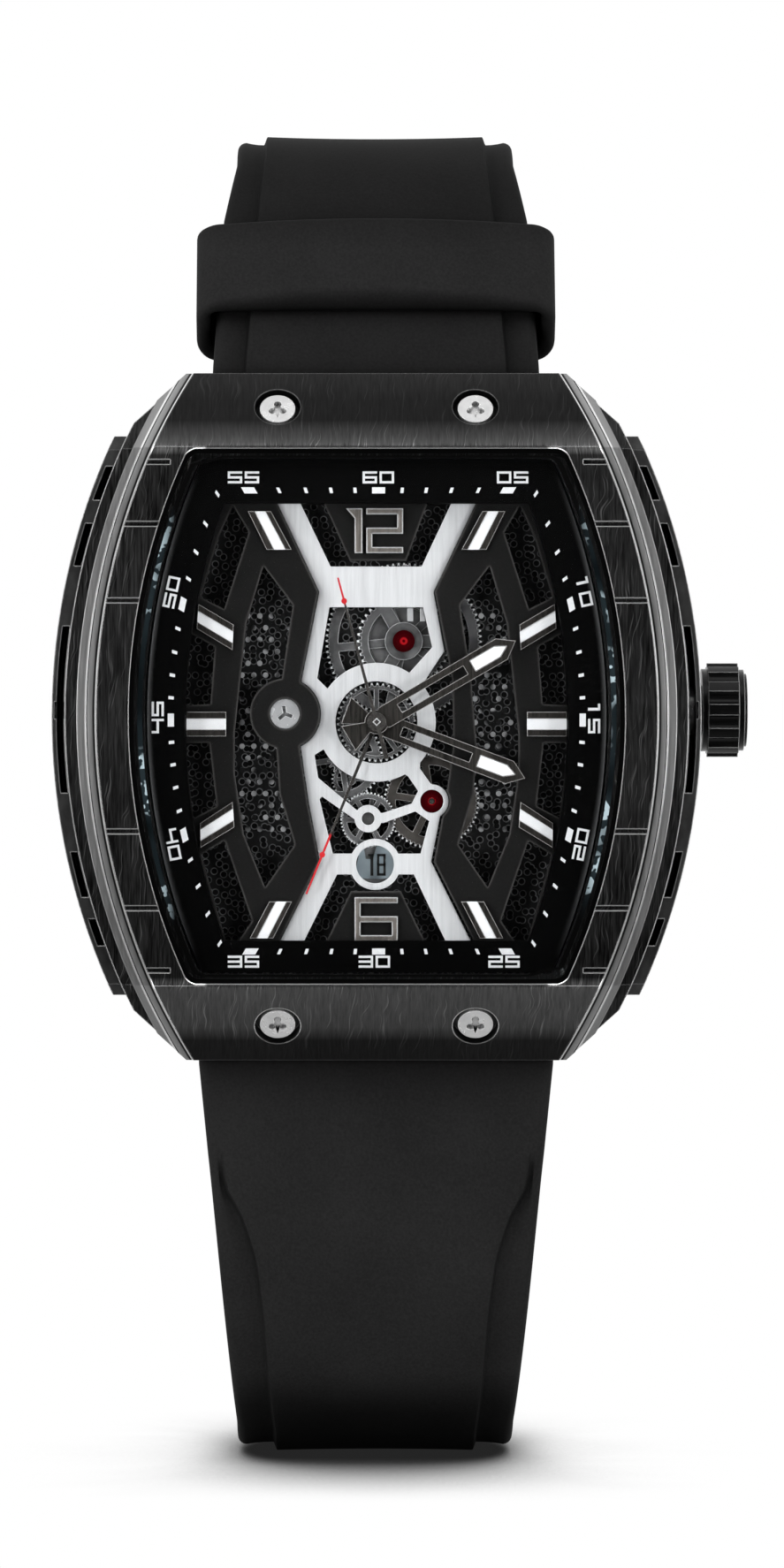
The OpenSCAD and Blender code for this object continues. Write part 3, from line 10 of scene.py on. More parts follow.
import bmesh
import bpy
import numpy as np
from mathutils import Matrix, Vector


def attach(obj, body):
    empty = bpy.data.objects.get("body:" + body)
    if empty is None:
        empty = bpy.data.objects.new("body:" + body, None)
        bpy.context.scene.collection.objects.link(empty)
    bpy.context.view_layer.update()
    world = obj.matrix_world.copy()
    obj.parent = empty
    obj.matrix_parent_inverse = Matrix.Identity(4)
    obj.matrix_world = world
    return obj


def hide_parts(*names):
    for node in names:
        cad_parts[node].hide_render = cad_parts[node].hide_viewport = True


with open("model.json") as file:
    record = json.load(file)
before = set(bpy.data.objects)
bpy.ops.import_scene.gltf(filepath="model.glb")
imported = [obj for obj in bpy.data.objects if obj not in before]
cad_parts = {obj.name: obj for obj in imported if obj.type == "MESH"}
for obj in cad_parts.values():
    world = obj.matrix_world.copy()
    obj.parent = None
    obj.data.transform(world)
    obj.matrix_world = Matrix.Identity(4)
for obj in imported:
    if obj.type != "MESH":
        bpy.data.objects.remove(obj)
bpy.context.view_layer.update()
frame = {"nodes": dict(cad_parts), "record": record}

MM = 0.001

# Case
case_h = 14.6
front_r = 70.0
plate_w = 39.4
plate_r = 47.6
opening_w = 34.8
opening_l = 37.7
case_off = 0.4
crystal_drop = 0.3
crystal_t = 1.6
slot_low = 1.9
slot_high = 4.3

# Hands and wheels: front of the seconds hand, and the axes of barrel and third wheel
seconds_top = 11.63
barrel_at = (1.94, 5.75)
third_at = (3.92, -5.58)

# Straps: where each leaves the case, leans, turns round and runs straight down behind
strap_t = 3.0
ledge_d = 0.6
lug_y = -(slot_low + slot_high) / 2
upper_start, upper_lean, upper_crest = 24.1, np.radians(25), 42.0
lower_start, lower_lean, lower_crest = 23.3, np.radians(5), 52.2
loop_depth = 28.0
lower_depth = 31.25
rear_half = 10.1
tail_end = 22.0
tail_r = 5.0
bar_z = -3.0
notch = 1.2
hole_half_w, hole_half_l = 1.25, 1.8
hole_places = [5.2, -1.8, -8.8, -15.8, 12.2]
keeper_gap = 0.2
keeper_t = 1.0


# Shader building

def feed(tree, sockets, feeds):
    """Feeds sockets, found by name or number, with values or with the outputs of nodes."""
    for socket, value in feeds.items():
        if isinstance(value, bpy.types.NodeSocket):
            tree.links.new(value, sockets[socket])
        else:
            sockets[socket].default_value = value


def node(tree, kind, feeds=None, **settings):
    """Adds a shader node with its settings and feeds its inputs."""
    made = tree.nodes.new("ShaderNode" + kind)
    for name, value in settings.items():
        setattr(made, name, value)
    feed(tree, made.inputs, feeds or {})
    return made


def math(tree, operation, a, b=0.0, c=0.0):
    """One arithmetic step between two or three values."""
    return node(tree, "Math", {0: a, 1: b, 2: c}, operation=operation).outputs[0]


def product(tree, *values):
    """All the values multiplied."""
    total = values[0]
    for value in values[1:]:
        total = math(tree, "MULTIPLY", total, value)
    return total


def mixed(tree, factor, a, b):
    """Colour a where the factor is 0, colour b where it is 1."""
    return node(tree, "Mix", {0: factor, 6: a, 7: b}, data_type="RGBA").outputs[2]


def spread(tree, value, low, high, to_low=0.0, to_high=1.0):
    """The value carried from one range to another, held at its ends."""
    return node(tree, "MapRange", {0: value, 1: low, 2: high, 3: to_low, 4: to_high}).outputs[0]


def between(tree, value, rise, fall):
    """A mask that rises to 1 over the first range of the value and falls to 0 over the second."""
    return product(tree, spread(tree, value, *rise), spread(tree, value, *fall[::-1]))


def noise(tree, at, scale, detail=1.0, rough=0.5):
    """Noise outputs at a place."""
    return node(tree, "TexNoise", {"Vector": at, "Scale": scale, "Detail": detail,
                                   "Roughness": rough}).outputs


def ambient(tree, distance, samples):
    """How free the surface is of others within a distance, from 0 to 1."""
    return node(tree, "AmbientOcclusion", {"Distance": distance}, samples=samples).outputs["AO"]


def position(tree):
    """The point's place in the frame, in metres."""
    return node(tree, "TexCoord").outputs["Object"]


def axes(tree):
    """The point's X, Y and Z in the frame, in metres."""
    return node(tree, "SeparateXYZ", {0: position(tree)}).outputs


def hypotenuse(tree, a, b):
    """Length of a step of a one way and b at right angles to it."""
    return math(tree, "SQRT", math(tree, "ADD", product(tree, a, a), product(tree, b, b)))


def from_axis(tree, x=0.0, z=0.0):
    """Distance from an axis that stands on the dial at (x, z)."""
    at = axes(tree)
    return hypotenuse(tree, math(tree, "SUBTRACT", at[0], x * MM),
                      math(tree, "SUBTRACT", at[2], z * MM))


def mm(lengths):
    """Millimetres as metres."""
    return [length * MM for length in lengths]


def grey(value, warm=0.0):
    """A grey given as linear light, warmer or cooler by a share."""
    return (value * (1 + warm), value, value * (1 - warm), 1.0)


def new_group(name, takes, gives):
    """A node group with inputs, each with a kind and a starting value, and outputs."""
    tree = bpy.data.node_groups.new(name, "ShaderNodeTree")
    for title, (kind, value) in takes.items():
        socket = tree.interface.new_socket(title, in_out="INPUT",
                                           socket_type="NodeSocket" + kind)
        socket.default_value = value
    for title, kind in gives.items():
        tree.interface.new_socket(title, in_out="OUTPUT", socket_type="NodeSocket" + kind)
    taken = tree.nodes.new("NodeGroupInput").outputs
    return tree, taken, tree.nodes.new("NodeGroupOutput").inputs


def use(tree, group, feeds=None):
    """Places a group in a material."""
    return node(tree, "Group", feeds, node_tree=group).outputs


def grain_group():
    """Brush marks: noise stretched along the brushing, with slow clouds and long scratches."""
    tree, taken, given = new_group(
        "brush marks",
        {"Lines per metre": ("Vector", (9000, 9000, 500)), "Depth": ("Float", 0.2),
         "Base Normal": ("Vector", (0, 0, 0))},
        {"Streak": "Float", "Cloud": "Float", "Scratch": "Float", "Normal": "Vector"})
    here = position(tree)
    fine = node(tree, "VectorMath", {0: here, 1: taken["Lines per metre"]}, operation="MULTIPLY")
    streak = noise(tree, fine.outputs[0], 1.0, 3.0, 0.65)[0]
    wander = noise(tree, here, 420.0)["Color"]
    bent = node(tree, "VectorMath", {0: wander, 1: (0.0013, 0.0, 0.0), 2: here},
                operation="MULTIPLY_ADD").outputs[0]
    slanted = node(tree, "Mapping", {"Vector": bent, "Rotation": (0.0, 0.12, 0.0),
                                     "Scale": (0.0001, 0.004, 0.003)}, vector_type="TEXTURE")
    marks = noise(tree, slanted.outputs[0], 1.0)[0]
    bump = node(tree, "Bump", {"Height": streak, "Strength": taken["Depth"],
                               "Distance": 0.00003, "Normal": taken["Base Normal"]})
    feed(tree, given, {"Streak": streak, "Cloud": noise(tree, here, 170.0, 2.0)[0],
                       "Scratch": spread(tree, marks, 0.62, 0.74), "Normal": bump.outputs[0]})
    return tree


def edge_group():
    """Rounded edges: how far the surface turns within a radius, kept only where it stands free, as
    masks for painted highlight on edges and painted shade in hollows.
    """
    tree, taken, given = new_group("edge light", {"Radius": ("Float", 0.0001)},
                                   {"Edge": "Float", "Hollow shade": "Float", "Normal": "Vector"})
    rounded = node(tree, "Bevel", {"Radius": taken["Radius"]}, samples=4).outputs[0]
    flat = node(tree, "NewGeometry").outputs["Normal"]
    turn = node(tree, "VectorMath", {0: rounded, 1: flat}, operation="DOT_PRODUCT")
    free = ambient(tree, product(tree, taken["Radius"], 4.0), 4)
    edge = product(tree, spread(tree, turn.outputs["Value"], 0.985, 0.86),
                   spread(tree, free, 0.45, 0.75))
    feed(tree, given, {"Edge": edge, "Hollow shade": spread(tree, free, 0.9, 0.3), "Normal": rounded})
    return tree


def speckle_group():
    """Matte skin: two sizes of fine noise that lighten, darken and dimple the surface."""
    tree, taken, given = new_group(
        "matte skin", {"Size": ("Float", 6000.0), "Depth": ("Float", 0.2)},
        {"Shade": "Float", "Normal": "Vector"})
    here = position(tree)
    fine = noise(tree, here, taken["Size"], 2.0)[0]
    slow = product(tree, noise(tree, here, 120.0, 2.0)[0], 0.4)
    bump = node(tree, "Bump", {"Height": fine, "Strength": taken["Depth"], "Distance": 0.00003})
    feed(tree, given, {"Shade": math(tree, "MULTIPLY_ADD", fine, 0.6, slow),
                       "Normal": bump.outputs[0]})
    return tree


def cells_group():
    """Perforation: rounded cells of uneven size in the plane of the dial, with a hole in each."""
    tree, taken, given = new_group(
        "perforation",
        {"Cells per metre": ("Float", 2000.0), "Hole": ("Float", 0.36), "Uneven": ("Float", 0.6)},
        {"Hole": "Float", "Rim": "Float", "Normal": "Vector"})
    here = axes(tree)
    plane = node(tree, "CombineXYZ", {0: here[0], 1: here[2]}).outputs[0]
    cells = node(tree, "TexVoronoi", {"Vector": plane, "Scale": taken["Cells per metre"],
                                      "Randomness": taken["Uneven"]}, voronoi_dimensions="2D")
    past = math(tree, "SUBTRACT", cells.outputs["Distance"], taken["Hole"])
    bump = node(tree, "Bump", {"Height": spread(tree, past, -0.05, 0.1), "Strength": 0.8,
                               "Distance": 0.0001})
    feed(tree, given, {"Hole": spread(tree, past, 0.03, -0.03),
                       "Rim": between(tree, past, (-0.02, 0.02), (0.06, 0.14)),
                       "Normal": bump.outputs[0]})
    return tree


def place_group():
    """Where a point of the front lies: how far beyond the plate's bowed side and along the case."""
    tree, taken, given = new_group("front place", {"Offset": ("Float", 0.0)},
                                   {"Beyond": "Float", "Along": "Float"})
    here = axes(tree)
    along = math(tree, "SUBTRACT", here[2], case_off * MM)
    aside = math(tree, "SUBTRACT", math(tree, "ABSOLUTE", here[0]), (plate_w / 2 - plate_r) * MM)
    away = math(tree, "SUBTRACT", hypotenuse(tree, along, aside), plate_r * MM)
    feed(tree, given, {"Beyond": math(tree, "SUBTRACT", away, taken["Offset"]),
                       "Along": math(tree, "ABSOLUTE", along)})
    return tree


grain = grain_group()
places = place_group()
edges = edge_group()
skin = speckle_group()
cells = cells_group()


# Kinds of finish

def opened(material):
    """A material with its node tree and the inputs of its Principled shader."""
    tree = material.node_tree
    return material, tree, tree.nodes["Principled BSDF"].inputs


def new_material(name, **values):
    """A material whose shader's plain sockets are set by their names."""
    material = bpy.data.materials.new(name)
    material.use_nodes = True
    material, tree, shader = opened(material)
    feed(tree, shader, {socket.replace("_", " "): value for socket, value in values.items()})
    return material, tree, shader


def variant(name, plain):
    """A copy of a finish under its own name, opened to be changed."""
    material = plain.copy()
    material.name = name
    return opened(material)


def fed(shader, socket):
    """What feeds a socket so far."""
    return shader[socket].links[0].from_socket


def brushed(name, dark, light, edge, lines, depth=0.2, radius=0.1, rough=(0.3, 0.45), scratch=0.0,
            hollow_shade=0.5, contrast=0.12, edge_highlight=0.7, metal=0.8, **values):
    """Brushed metal: tones run with the brush marks, edges take a painted highlight in a pale
    colour and hollows a painted shade.
    """
    edge_rough = 0.25
    material, tree, shader = new_material(name, **values)
    rim = use(tree, edges, {"Radius": radius * MM})
    marks = use(tree, grain, {"Lines per metre": lines, "Depth": depth,
                              "Base Normal": rim["Normal"]})
    tone = math(tree, "MULTIPLY_ADD", marks["Streak"], 0.75, product(tree, marks["Cloud"], 0.25))
    colour = mixed(tree, spread(tree, tone, 0.5 - contrast, 0.5 + contrast), dark, light)
    if scratch:
        colour = mixed(tree, product(tree, marks["Scratch"], scratch), colour, edge)
    # Painted shade: the colour darkens in hollows, where other surfaces lie close
    colour = mixed(tree, product(tree, rim["Hollow shade"], hollow_shade), colour, grey(0.004))
    inner = math(tree, "SUBTRACT", 1.0, rim["Edge"])
    dull = product(tree, spread(tree, marks["Streak"], 0.3, 0.7, *rough), inner)
    # Painted highlight: edges take the pale edge colour and lose metal, so they read bright
    feed(tree, shader, {
        "Base Color": mixed(tree, rim["Edge"], colour, edge),
        "Roughness": math(tree, "ADD", dull, product(tree, rim["Edge"], edge_rough)),
        "Metallic": spread(tree, rim["Edge"], 0.0, 1.0, metal, metal * (1 - edge_highlight)),
        "Normal": marks["Normal"]})
    return material


def matte(name, dark, light, edge=None, size=6000.0, depth=0.2, radius=0.1, **values):
    """Matte plastic, rubber or paint: fine speckle between two tones; given an edge colour, edges
    take a painted highlight and hollows a painted shade.
    """
    material, tree, shader = new_material(name, **values)
    speck = use(tree, skin, {"Size": size, "Depth": depth})
    colour = mixed(tree, spread(tree, speck["Shade"], 0.35, 0.65), dark, light)
    if edge:
        rim = use(tree, edges, {"Radius": radius * MM})
        # Painted shade in the hollows, then a painted highlight on the edges
        colour = mixed(tree, product(tree, rim["Hollow shade"], 0.4), colour, grey(0.003))
        colour = mixed(tree, rim["Edge"], colour, edge)
    feed(tree, shader, {"Base Color": colour, "Normal": speck["Normal"]})
    return material


def profile(tree, share, levels):
    """Grey read from (place, level) pairs by a share from 0 to 1."""
    ramp = node(tree, "ValToRGB", {0: share})
    points = ramp.color_ramp.elements
    for k, (at, level) in enumerate(levels):
        point = points[k] if k < 2 else points.new(at)
        point.position, point.color = at, grey(level)
    return ramp.outputs[0]


# Painted sheen on the end bands: how much they brighten, in steps of the factor below, from their
# outer edge to the opening
band_sheen = 8.0
top_sheen = ((0.0, 0.12), (1.0, 0.6), (0.35, 0.06), (0.6, 0.055), (0.8, 0.28))
low_sheen = ((0.0, 0.07), (1.0, 0.62), (0.25, 0.08), (0.42, 0.42), (0.7, 0.52))

# Greys across a rail, from the front plate outwards, by shares of its width: satin tones and near
# black lines, with the palest lines a painted highlight along the rails' edges
rail_w = 1.7
rail_profile = ((0.0, 0.9), (1.0, 0.01), (0.05, 0.9), (0.08, 0.01), (0.13, 0.02), (0.17, 0.28),
                (0.36, 0.36), (0.38, 0.01), (0.41, 0.02), (0.43, 0.95), (0.49, 0.95),
                (0.51, 0.33), (0.79, 0.27), (0.81, 0.75), (0.86, 0.75), (0.88, 0.01))

# Places on the front, along the case from its middle and beyond the plate's side
band_reach = mm((24.4, 18.6))
opening_end = mm((18.4, 18.8))
smooth_from = mm((19.0, 19.3))
rim_along = mm((18.8, 18.84)), mm((19.02, 19.12))
rim_sides = mm((-3.2, -3.5))
rail_span = mm((0.02, 0.05)), mm((rail_w - 0.1, rail_w))


def bezel_finish(name, plain):
    """The case's black, with satin rails carrying painted highlight lines, and end bands whose
    painted sheen brightens towards the opening.
    """
    material, tree, shader = variant(name, plain)
    place = use(tree, places)
    along, beyond = place["Along"], place["Beyond"]
    # Painted sheen: the end bands brighten towards the opening, top and bottom bands each by its
    # own greys
    on_end = spread(tree, along, *band_reach)
    down = spread(tree, axes(tree)[2], -MM, MM, 1.0, 0.0)
    painted_light = mixed(tree, down, profile(tree, on_end, top_sheen),
                 profile(tree, on_end, low_sheen))
    painted_light = mixed(tree, spread(tree, along, *opening_end), grey(0.1), painted_light)
    painted_light = node(tree, "VectorMath", {0: painted_light, "Scale": band_sheen}, operation="SCALE").outputs[0]
    # The brushed black as given, with scratches, painted edge highlight and painted hollow shade
    edge_highlight = fed(shader, "Base Color")
    plate = mixed(tree, spread(tree, along, *smooth_from), edge_highlight,
                  mixed(tree, 0.7, edge_highlight, grey(0.022)))
    lit = node(tree, "VectorMath", {0: plate, 1: painted_light}, operation="MULTIPLY").outputs[0]
    # Rails: satin greys with painted highlight lines along their edges
    bands = profile(tree, spread(tree, beyond, 0.0, rail_w * MM), rail_profile)
    rim = product(tree, between(tree, along, *rim_along), spread(tree, beyond, *rim_sides), 0.85)
    colour = mixed(tree, between(tree, beyond, *rail_span), lit, bands)
    feed(tree, shader, {"Base Color": mixed(tree, rim, colour, grey(0.01))})
    return material


def flange_finish(name):
    """Matte black, with a painted soft highlight along the flange's sides inside the glass."""
    material, tree, shader = opened(matte(name, grey(0.0006), grey(0.0012), Roughness=0.6,
                                          Specular_IOR_Level=0.02))
    place = use(tree, places)
    # Painted highlight along the flange's sides, fading towards its ends
    soft = between(tree, place["Beyond"], mm((-4.0, -3.55)), mm((-3.5, -3.3)))
    painted_glow = product(tree, soft, soft, spread(tree, place["Along"], *mm((17.0, 9.0))))
    feed(tree, shader, {"Base Color": mixed(tree, painted_glow, fed(shader, "Base Color"), grey(0.1))})
    return material


def toothed(name, plain, x, z, root):
    """A wheel's finish whose teeth, beyond the root radius about its axis, are painted white as a
    highlight.
    """
    material, tree, shader = variant(name, plain)
    # Painted highlight: the teeth turn white and lose their metal
    tip = spread(tree, from_axis(tree, x, z), *mm((root - 0.02, root + 0.02)))
    metal = product(tree, fed(shader, "Metallic"), math(tree, "SUBTRACT", 1.0, tip))
    feed(tree, shader, {"Base Color": mixed(tree, tip, fed(shader, "Base Color"), grey(0.97)),
                        "Metallic": metal})
    return material


def needle(name, tip_from):
    """The thin hands' warm grey, red from a distance outwards from the hands' axis."""
    material, tree, shader = opened(brushed(
        name, grey(0.03, 0.08), grey(0.07, 0.08), grey(0.4, 0.03), (9000, 9000, 9000),
        radius=0.04))
    red = spread(tree, from_axis(tree), *mm((tip_from - 0.1, tip_from + 0.1)))
    feed(tree, shader, {
        "Base Color": mixed(tree, red, fed(shader, "Base Color"), (0.62, 0.004, 0.01, 1)),
        "Metallic": product(tree, math(tree, "SUBTRACT", 1.0, red), 0.8)})
    return material


def bright_pin(name):
    """Polished steel with painted dim patches, standing for pins that catch no light, so that the
    pins don't all shine alike.
    """
    material, tree, shader = opened(brushed(
        name, grey(0.6), grey(0.8), grey(0.95), (900, 900, 900), depth=0.02, radius=0.05,
        rough=(0.15, 0.25), metal=0.4, hollow_shade=0.95))
    # Painted shade: dim patches where the slow noise is low
    patch = spread(tree, noise(tree, position(tree), 900.0)[0], 0.42, 0.56)
    feed(tree, shader, {"Base Color": mixed(tree, patch, grey(0.03), fed(shader, "Base Color"))})
    return material


def shaded(material, reach, least):
    """Paints shade into a finish near other pieces, and where the strap leans back above the
    keeper.
    """
    material, tree, shader = opened(material)
    # Painted shade near other pieces and on the strap above the keeper
    free = spread(tree, ambient(tree, reach * MM, 8), 0.45, 0.95, least, 1.0)
    painted_light = product(tree, free, spread(tree, axes(tree)[2], 0.034, 0.037, 1.0, 0.66))
    dimmed = node(tree, "VectorMath", {0: fed(shader, "Base Color"), "Scale": painted_light},
                  operation="SCALE")
    feed(tree, shader, {"Base Color": dimmed.outputs[0]})
    return material


def perforated(name, base, per_metre, hole, uneven):
    """Black sheet with holes: each hole is painted near black as shade, and its rim takes a painted
    highlight.
    """
    material, tree, shader = new_material(name, Roughness=0.55, Specular_IOR_Level=0.1)
    net = use(tree, cells, {"Cells per metre": per_metre, "Hole": hole, "Uneven": uneven})
    speck = use(tree, skin, {"Size": 9000.0, "Depth": 0.1})
    web = mixed(tree, speck["Shade"], grey(base * 0.7), grey(base * 1.4))
    # Painted highlight on the rims of the holes
    web = mixed(tree, net["Rim"], web, grey(base * 22))
    # Painted shade: the holes are near black
    feed(tree, shader, {"Base Color": mixed(tree, net["Hole"], web, grey(0.0006)),
                        "Normal": net["Normal"]})
    return material


def clear_glass(name, tint, ior):
    """Clear glass that lets lamps and soft light through, with a faint smear in its gloss."""
    material, tree, shader = new_material(name, Transmission_Weight=1.0, IOR=ior)
    speck = use(tree, skin, {"Size": 300.0, "Depth": 0.0})
    feed(tree, shader, {"Roughness": spread(tree, speck["Shade"], 0.3, 0.7, 0.0, 0.02),
                        "Base Color": mixed(tree, speck["Shade"], tint, (1, 1, 1, 1))})
    path = node(tree, "LightPath").outputs
    soft = math(tree, "MAXIMUM", path["Is Shadow Ray"], path["Is Diffuse Ray"])
    through = node(tree, "BsdfTransparent", {"Color": tint}).outputs[0]
    glass = tree.nodes["Principled BSDF"].outputs[0]
    both = node(tree, "MixShader", {0: soft, 1: glass, 2: through}).outputs[0]
    tree.links.new(both, tree.nodes["Material Output"].inputs[0])
    return material


def jewel(name):
    """Polished ruby: red with a painted glow that darkens outwards from each stone's middle, round
    a painted highlight ring.
    """
    material, tree, shader = new_material(name, Roughness=0.12, Specular_IOR_Level=0.1)
    out = math(tree, "MINIMUM", from_axis(tree, *barrel_at), from_axis(tree, *third_at))
    # Painted light: a bright ring and a glow about each stone's middle
    bright = between(tree, out, mm((0.08, 0.14)), mm((0.22, 0.3)))
    painted_glow = spread(tree, out, 0.6 * MM, 0.3 * MM, 0.03, 0.12)
    speck = use(tree, skin, {"Size": 2500.0, "Depth": 0.05})
    body = mixed(tree, painted_glow, (0.02, 0.0, 0.001, 1), (0.3, 0.002, 0.006, 1))
    body = mixed(tree, product(tree, speck["Shade"], 0.1), body, (0.1, 0.0, 0.002, 1))
    feed(tree, shader, {"Base Color": mixed(tree, bright, body, (0.4, 0.008, 0.012, 1))})
    return material


def glass_edge(name):
    """Cut edge of the crystal: near black at the ends, and at the sides a painted blue grey
    reflection with painted white glints.
    """
    material, tree, shader = new_material(name, Roughness=0.4, Specular_IOR_Level=0.05)
    # Painted reflection and glints at the sides only
    side = spread(tree, math(tree, "ABSOLUTE", axes(tree)[0]), *mm((14.2, 15.4)))
    slow = noise(tree, position(tree), 260.0)[0]
    fast = noise(tree, position(tree), 1700.0)[0]
    glint = product(tree, spread(tree, slow, 0.5, 0.6), spread(tree, fast, 0.54, 0.58), side)
    tint = mixed(tree, spread(tree, slow, 0.35, 0.65), (0.002, 0.004, 0.005, 1),
                 (0.014, 0.022, 0.026, 1))
    tint = mixed(tree, side, grey(0.001), tint)
    feed(tree, shader, {"Base Color": mixed(tree, glint, tint, (0.4, 0.5, 0.54, 1))})
    return material


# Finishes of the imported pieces

upright = (6500, 900, 330)
every_way = (5000, 5000, 5000)
finishes = {
    "black_case": brushed(
        "black_case", grey(0.004), grey(0.044), grey(0.95), upright, depth=0.3, radius=0.14,
        rough=(0.32, 0.5), scratch=0.1, contrast=0.15, edge_highlight=0.9, Specular_IOR_Level=0.3),
    "satin_grey": brushed("satin_grey", grey(0.2), grey(0.34), grey(0.7), upright, metal=0.9),
    "polished_steel": brushed(
        "polished_steel", grey(0.66), grey(0.76), grey(0.95), (900, 900, 900), depth=0.02,
        rough=(0.2, 0.3), metal=0.6, hollow_shade=0.9),
    "crown_black": brushed(
        "crown_black", grey(0.001), grey(0.004), grey(0.5), (300, 9000, 9000), depth=0.1,
        rough=(0.15, 0.25), metal=0.0, hollow_shade=0.95, Specular_IOR_Level=0.2),
    "crystal_glass": clear_glass("crystal_glass", (0.97, 0.98, 0.99, 1), 1.15),
    "armour_black": brushed(
        "armour_black", grey(0.025), grey(0.07), grey(0.9), (900, 900, 500), depth=0.1,
        radius=0.14, rough=(0.4, 0.5), contrast=0.2, edge_highlight=0.9, hollow_shade=0.9, metal=0.6,
        Specular_IOR_Level=0.3),
    "gasket": matte("gasket", grey(0.0005), grey(0.001), Roughness=0.6, Specular_IOR_Level=0.04),
    "strap_rubber": shaded(matte(
        "strap_rubber", grey(0.011), grey(0.0178), size=5200.0, depth=0.3, Roughness=0.75,
        Specular_IOR_Level=0.08), 7.0, 0.25),
    "bridge_silver": brushed(
        "bridge_silver", grey(0.58), grey(0.78), grey(0.9), (4000, 900, 160), depth=0.12,
        rough=(0.5, 0.65), metal=0.2, contrast=0.2),
    "dark_plate": matte(
        "dark_plate", grey(0.005, 0.05), grey(0.009, 0.05), grey(0.08, 0.05), radius=0.28,
        depth=0.1, Roughness=0.6, Specular_IOR_Level=0.08),
    "mesh_black": perforated("mesh_black", 0.009, 1550.0, 0.3, 0.75),
    "wheel_grey": brushed(
        "wheel_grey", grey(0.06), grey(0.22), grey(0.97), (700, 700, 700), depth=0.02,
        radius=0.09, contrast=0.3, edge_highlight=1.0),
    "wheel_bronze": brushed(
        "wheel_bronze", grey(0.04, 0.1), grey(0.12, 0.1), grey(0.95, 0.03), (700, 700, 700),
        depth=0.02, radius=0.08, contrast=0.3, edge_highlight=1.0),
    "brass": brushed(
        "brass", (0.4, 0.27, 0.1, 1), (0.6, 0.43, 0.19, 1), (0.9, 0.75, 0.45, 1), every_way,
        radius=0.06, metal=0.9),
    "plate_steel": brushed(
        "plate_steel", grey(0.28), grey(0.42), grey(0.75), (700, 5000, 5000), metal=0.85),
    "hand_bronze": brushed(
        "hand_bronze", grey(0.009, 0.12), grey(0.036, 0.12), grey(0.85, 0.04), upright,
        metal=0.4, edge_highlight=1.0, Specular_IOR_Level=0.2),
    "lume": matte(
        "lume", grey(0.88), grey(0.95), size=3000.0, depth=0.1, Roughness=0.6,
        Emission_Color=grey(1.0), Emission_Strength=0.08),
    "ruby": jewel("ruby"),
    "date_disc": matte("date_disc", (0.42, 0.52, 0.57, 1), (0.55, 0.64, 0.68, 1), size=900.0,
                       Roughness=0.45),
    "flange_black": flange_finish("flange_black"),
}
pin_finish = bright_pin("bright_pin")
needle_finish = needle("needle", 8.55)
special = {
    "side_rail_left": finishes["armour_black"], "side_rail_right": finishes["armour_black"],
    "seconds_hand": needle_finish, "day_hand": needle_finish, "dial_pins": pin_finish,
    "numerals": brushed("numeral_bronze", grey(0.11, 0.12), grey(0.2, 0.12), grey(1.0), upright,
                        radius=0.2, metal=0.5, edge_highlight=1.0),
    "bezel": bezel_finish("bezel_black", finishes["black_case"]),
}

# Axis and root radius of each wheel whose teeth take a painted white highlight
wheels = {"hour_wheel": (0.0, 0.0, 2.66), "barrel": (*barrel_at, 5.4),
          "ratchet_wheel": (*barrel_at, 3.16), "minute_wheel": (-2.5, -2.59, 2.84),
          "third_wheel": (*third_at, 3.26), "date_wheel": (-0.59, -6.9, 1.85),
          "date_idler": (-1.864, -4.026, 1.22)}
for wheel, place in wheels.items():
    plain = finishes["wheel_bronze" if wheel == "third_wheel" else "wheel_grey"]
    special[wheel] = toothed(wheel + "_finish", plain, *place)
for part in frame["record"]["subparts"]:
    piece = frame["nodes"][part["node"]]
    finish = special.get(part["node"], finishes[part["material_slot"]])
    if not piece.material_slots:
        piece.data.materials.append(finish)
    for place in piece.material_slots:
        place.material = finish


# Mesh building

def in_scene(name, mesh, finish, body):
    """The piece of a finished mesh, riding a body."""
    mesh.materials.append(finish)
    piece = bpy.data.objects.new(name, mesh)
    bpy.context.scene.collection.objects.link(piece)
    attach(piece, body)
    return piece


def new_piece(name, points, faces, finish, body, sharp=40.0):
    """A piece from points, its faces turned outwards, smooth below the sharp angle."""
    mesh = bpy.data.meshes.new(name)
    mesh.from_pydata((np.asarray(points, float) * MM).tolist(), [], faces)
    shape = bmesh.new()
    shape.from_mesh(mesh)
    bmesh.ops.remove_doubles(shape, verts=shape.verts, dist=1e-7)
    bmesh.ops.recalc_face_normals(shape, faces=shape.faces)
    shape.to_mesh(mesh)
    shape.free()
    mesh.shade_smooth()
    mesh.set_sharp_from_angle(angle=np.radians(sharp))
    return in_scene(name, mesh, finish, body)


def grid_faces(rows, cols, wrap_rows=False):
    """Quads of a grid of points numbered row by row, whose columns run round."""
    i = np.arange(rows if wrap_rows else rows - 1)[:, None]
    j = np.arange(cols)[None, :]
    below, beside = (i + 1) % rows, (j + 1) % cols
    quads = [i * cols + j, i * cols + beside, below * cols + beside, below * cols + j]
    return np.stack(quads, axis=-1).reshape(-1, 4)


def front(z, depth=0.0):
    """Height of the case's front at z, lowered by a depth: an arc of front_r about its middle."""
    return case_h - front_r + np.sqrt(front_r ** 2 - (z - case_off) ** 2) - depth


def polar(r, turn):
    """Points at a distance r from the origin, turned anticlockwise from the first axis."""
    return r * np.stack([np.cos(turn), np.sin(turn)], axis=1)


# Straps

def leaves_case(start, lean):
    """Depth and height at which the middle line of a strap that leans back leaves the case."""
    return lug_y + strap_t / 2 * (1 - np.cos(lean)), start + strap_t / 2 * np.sin(lean)


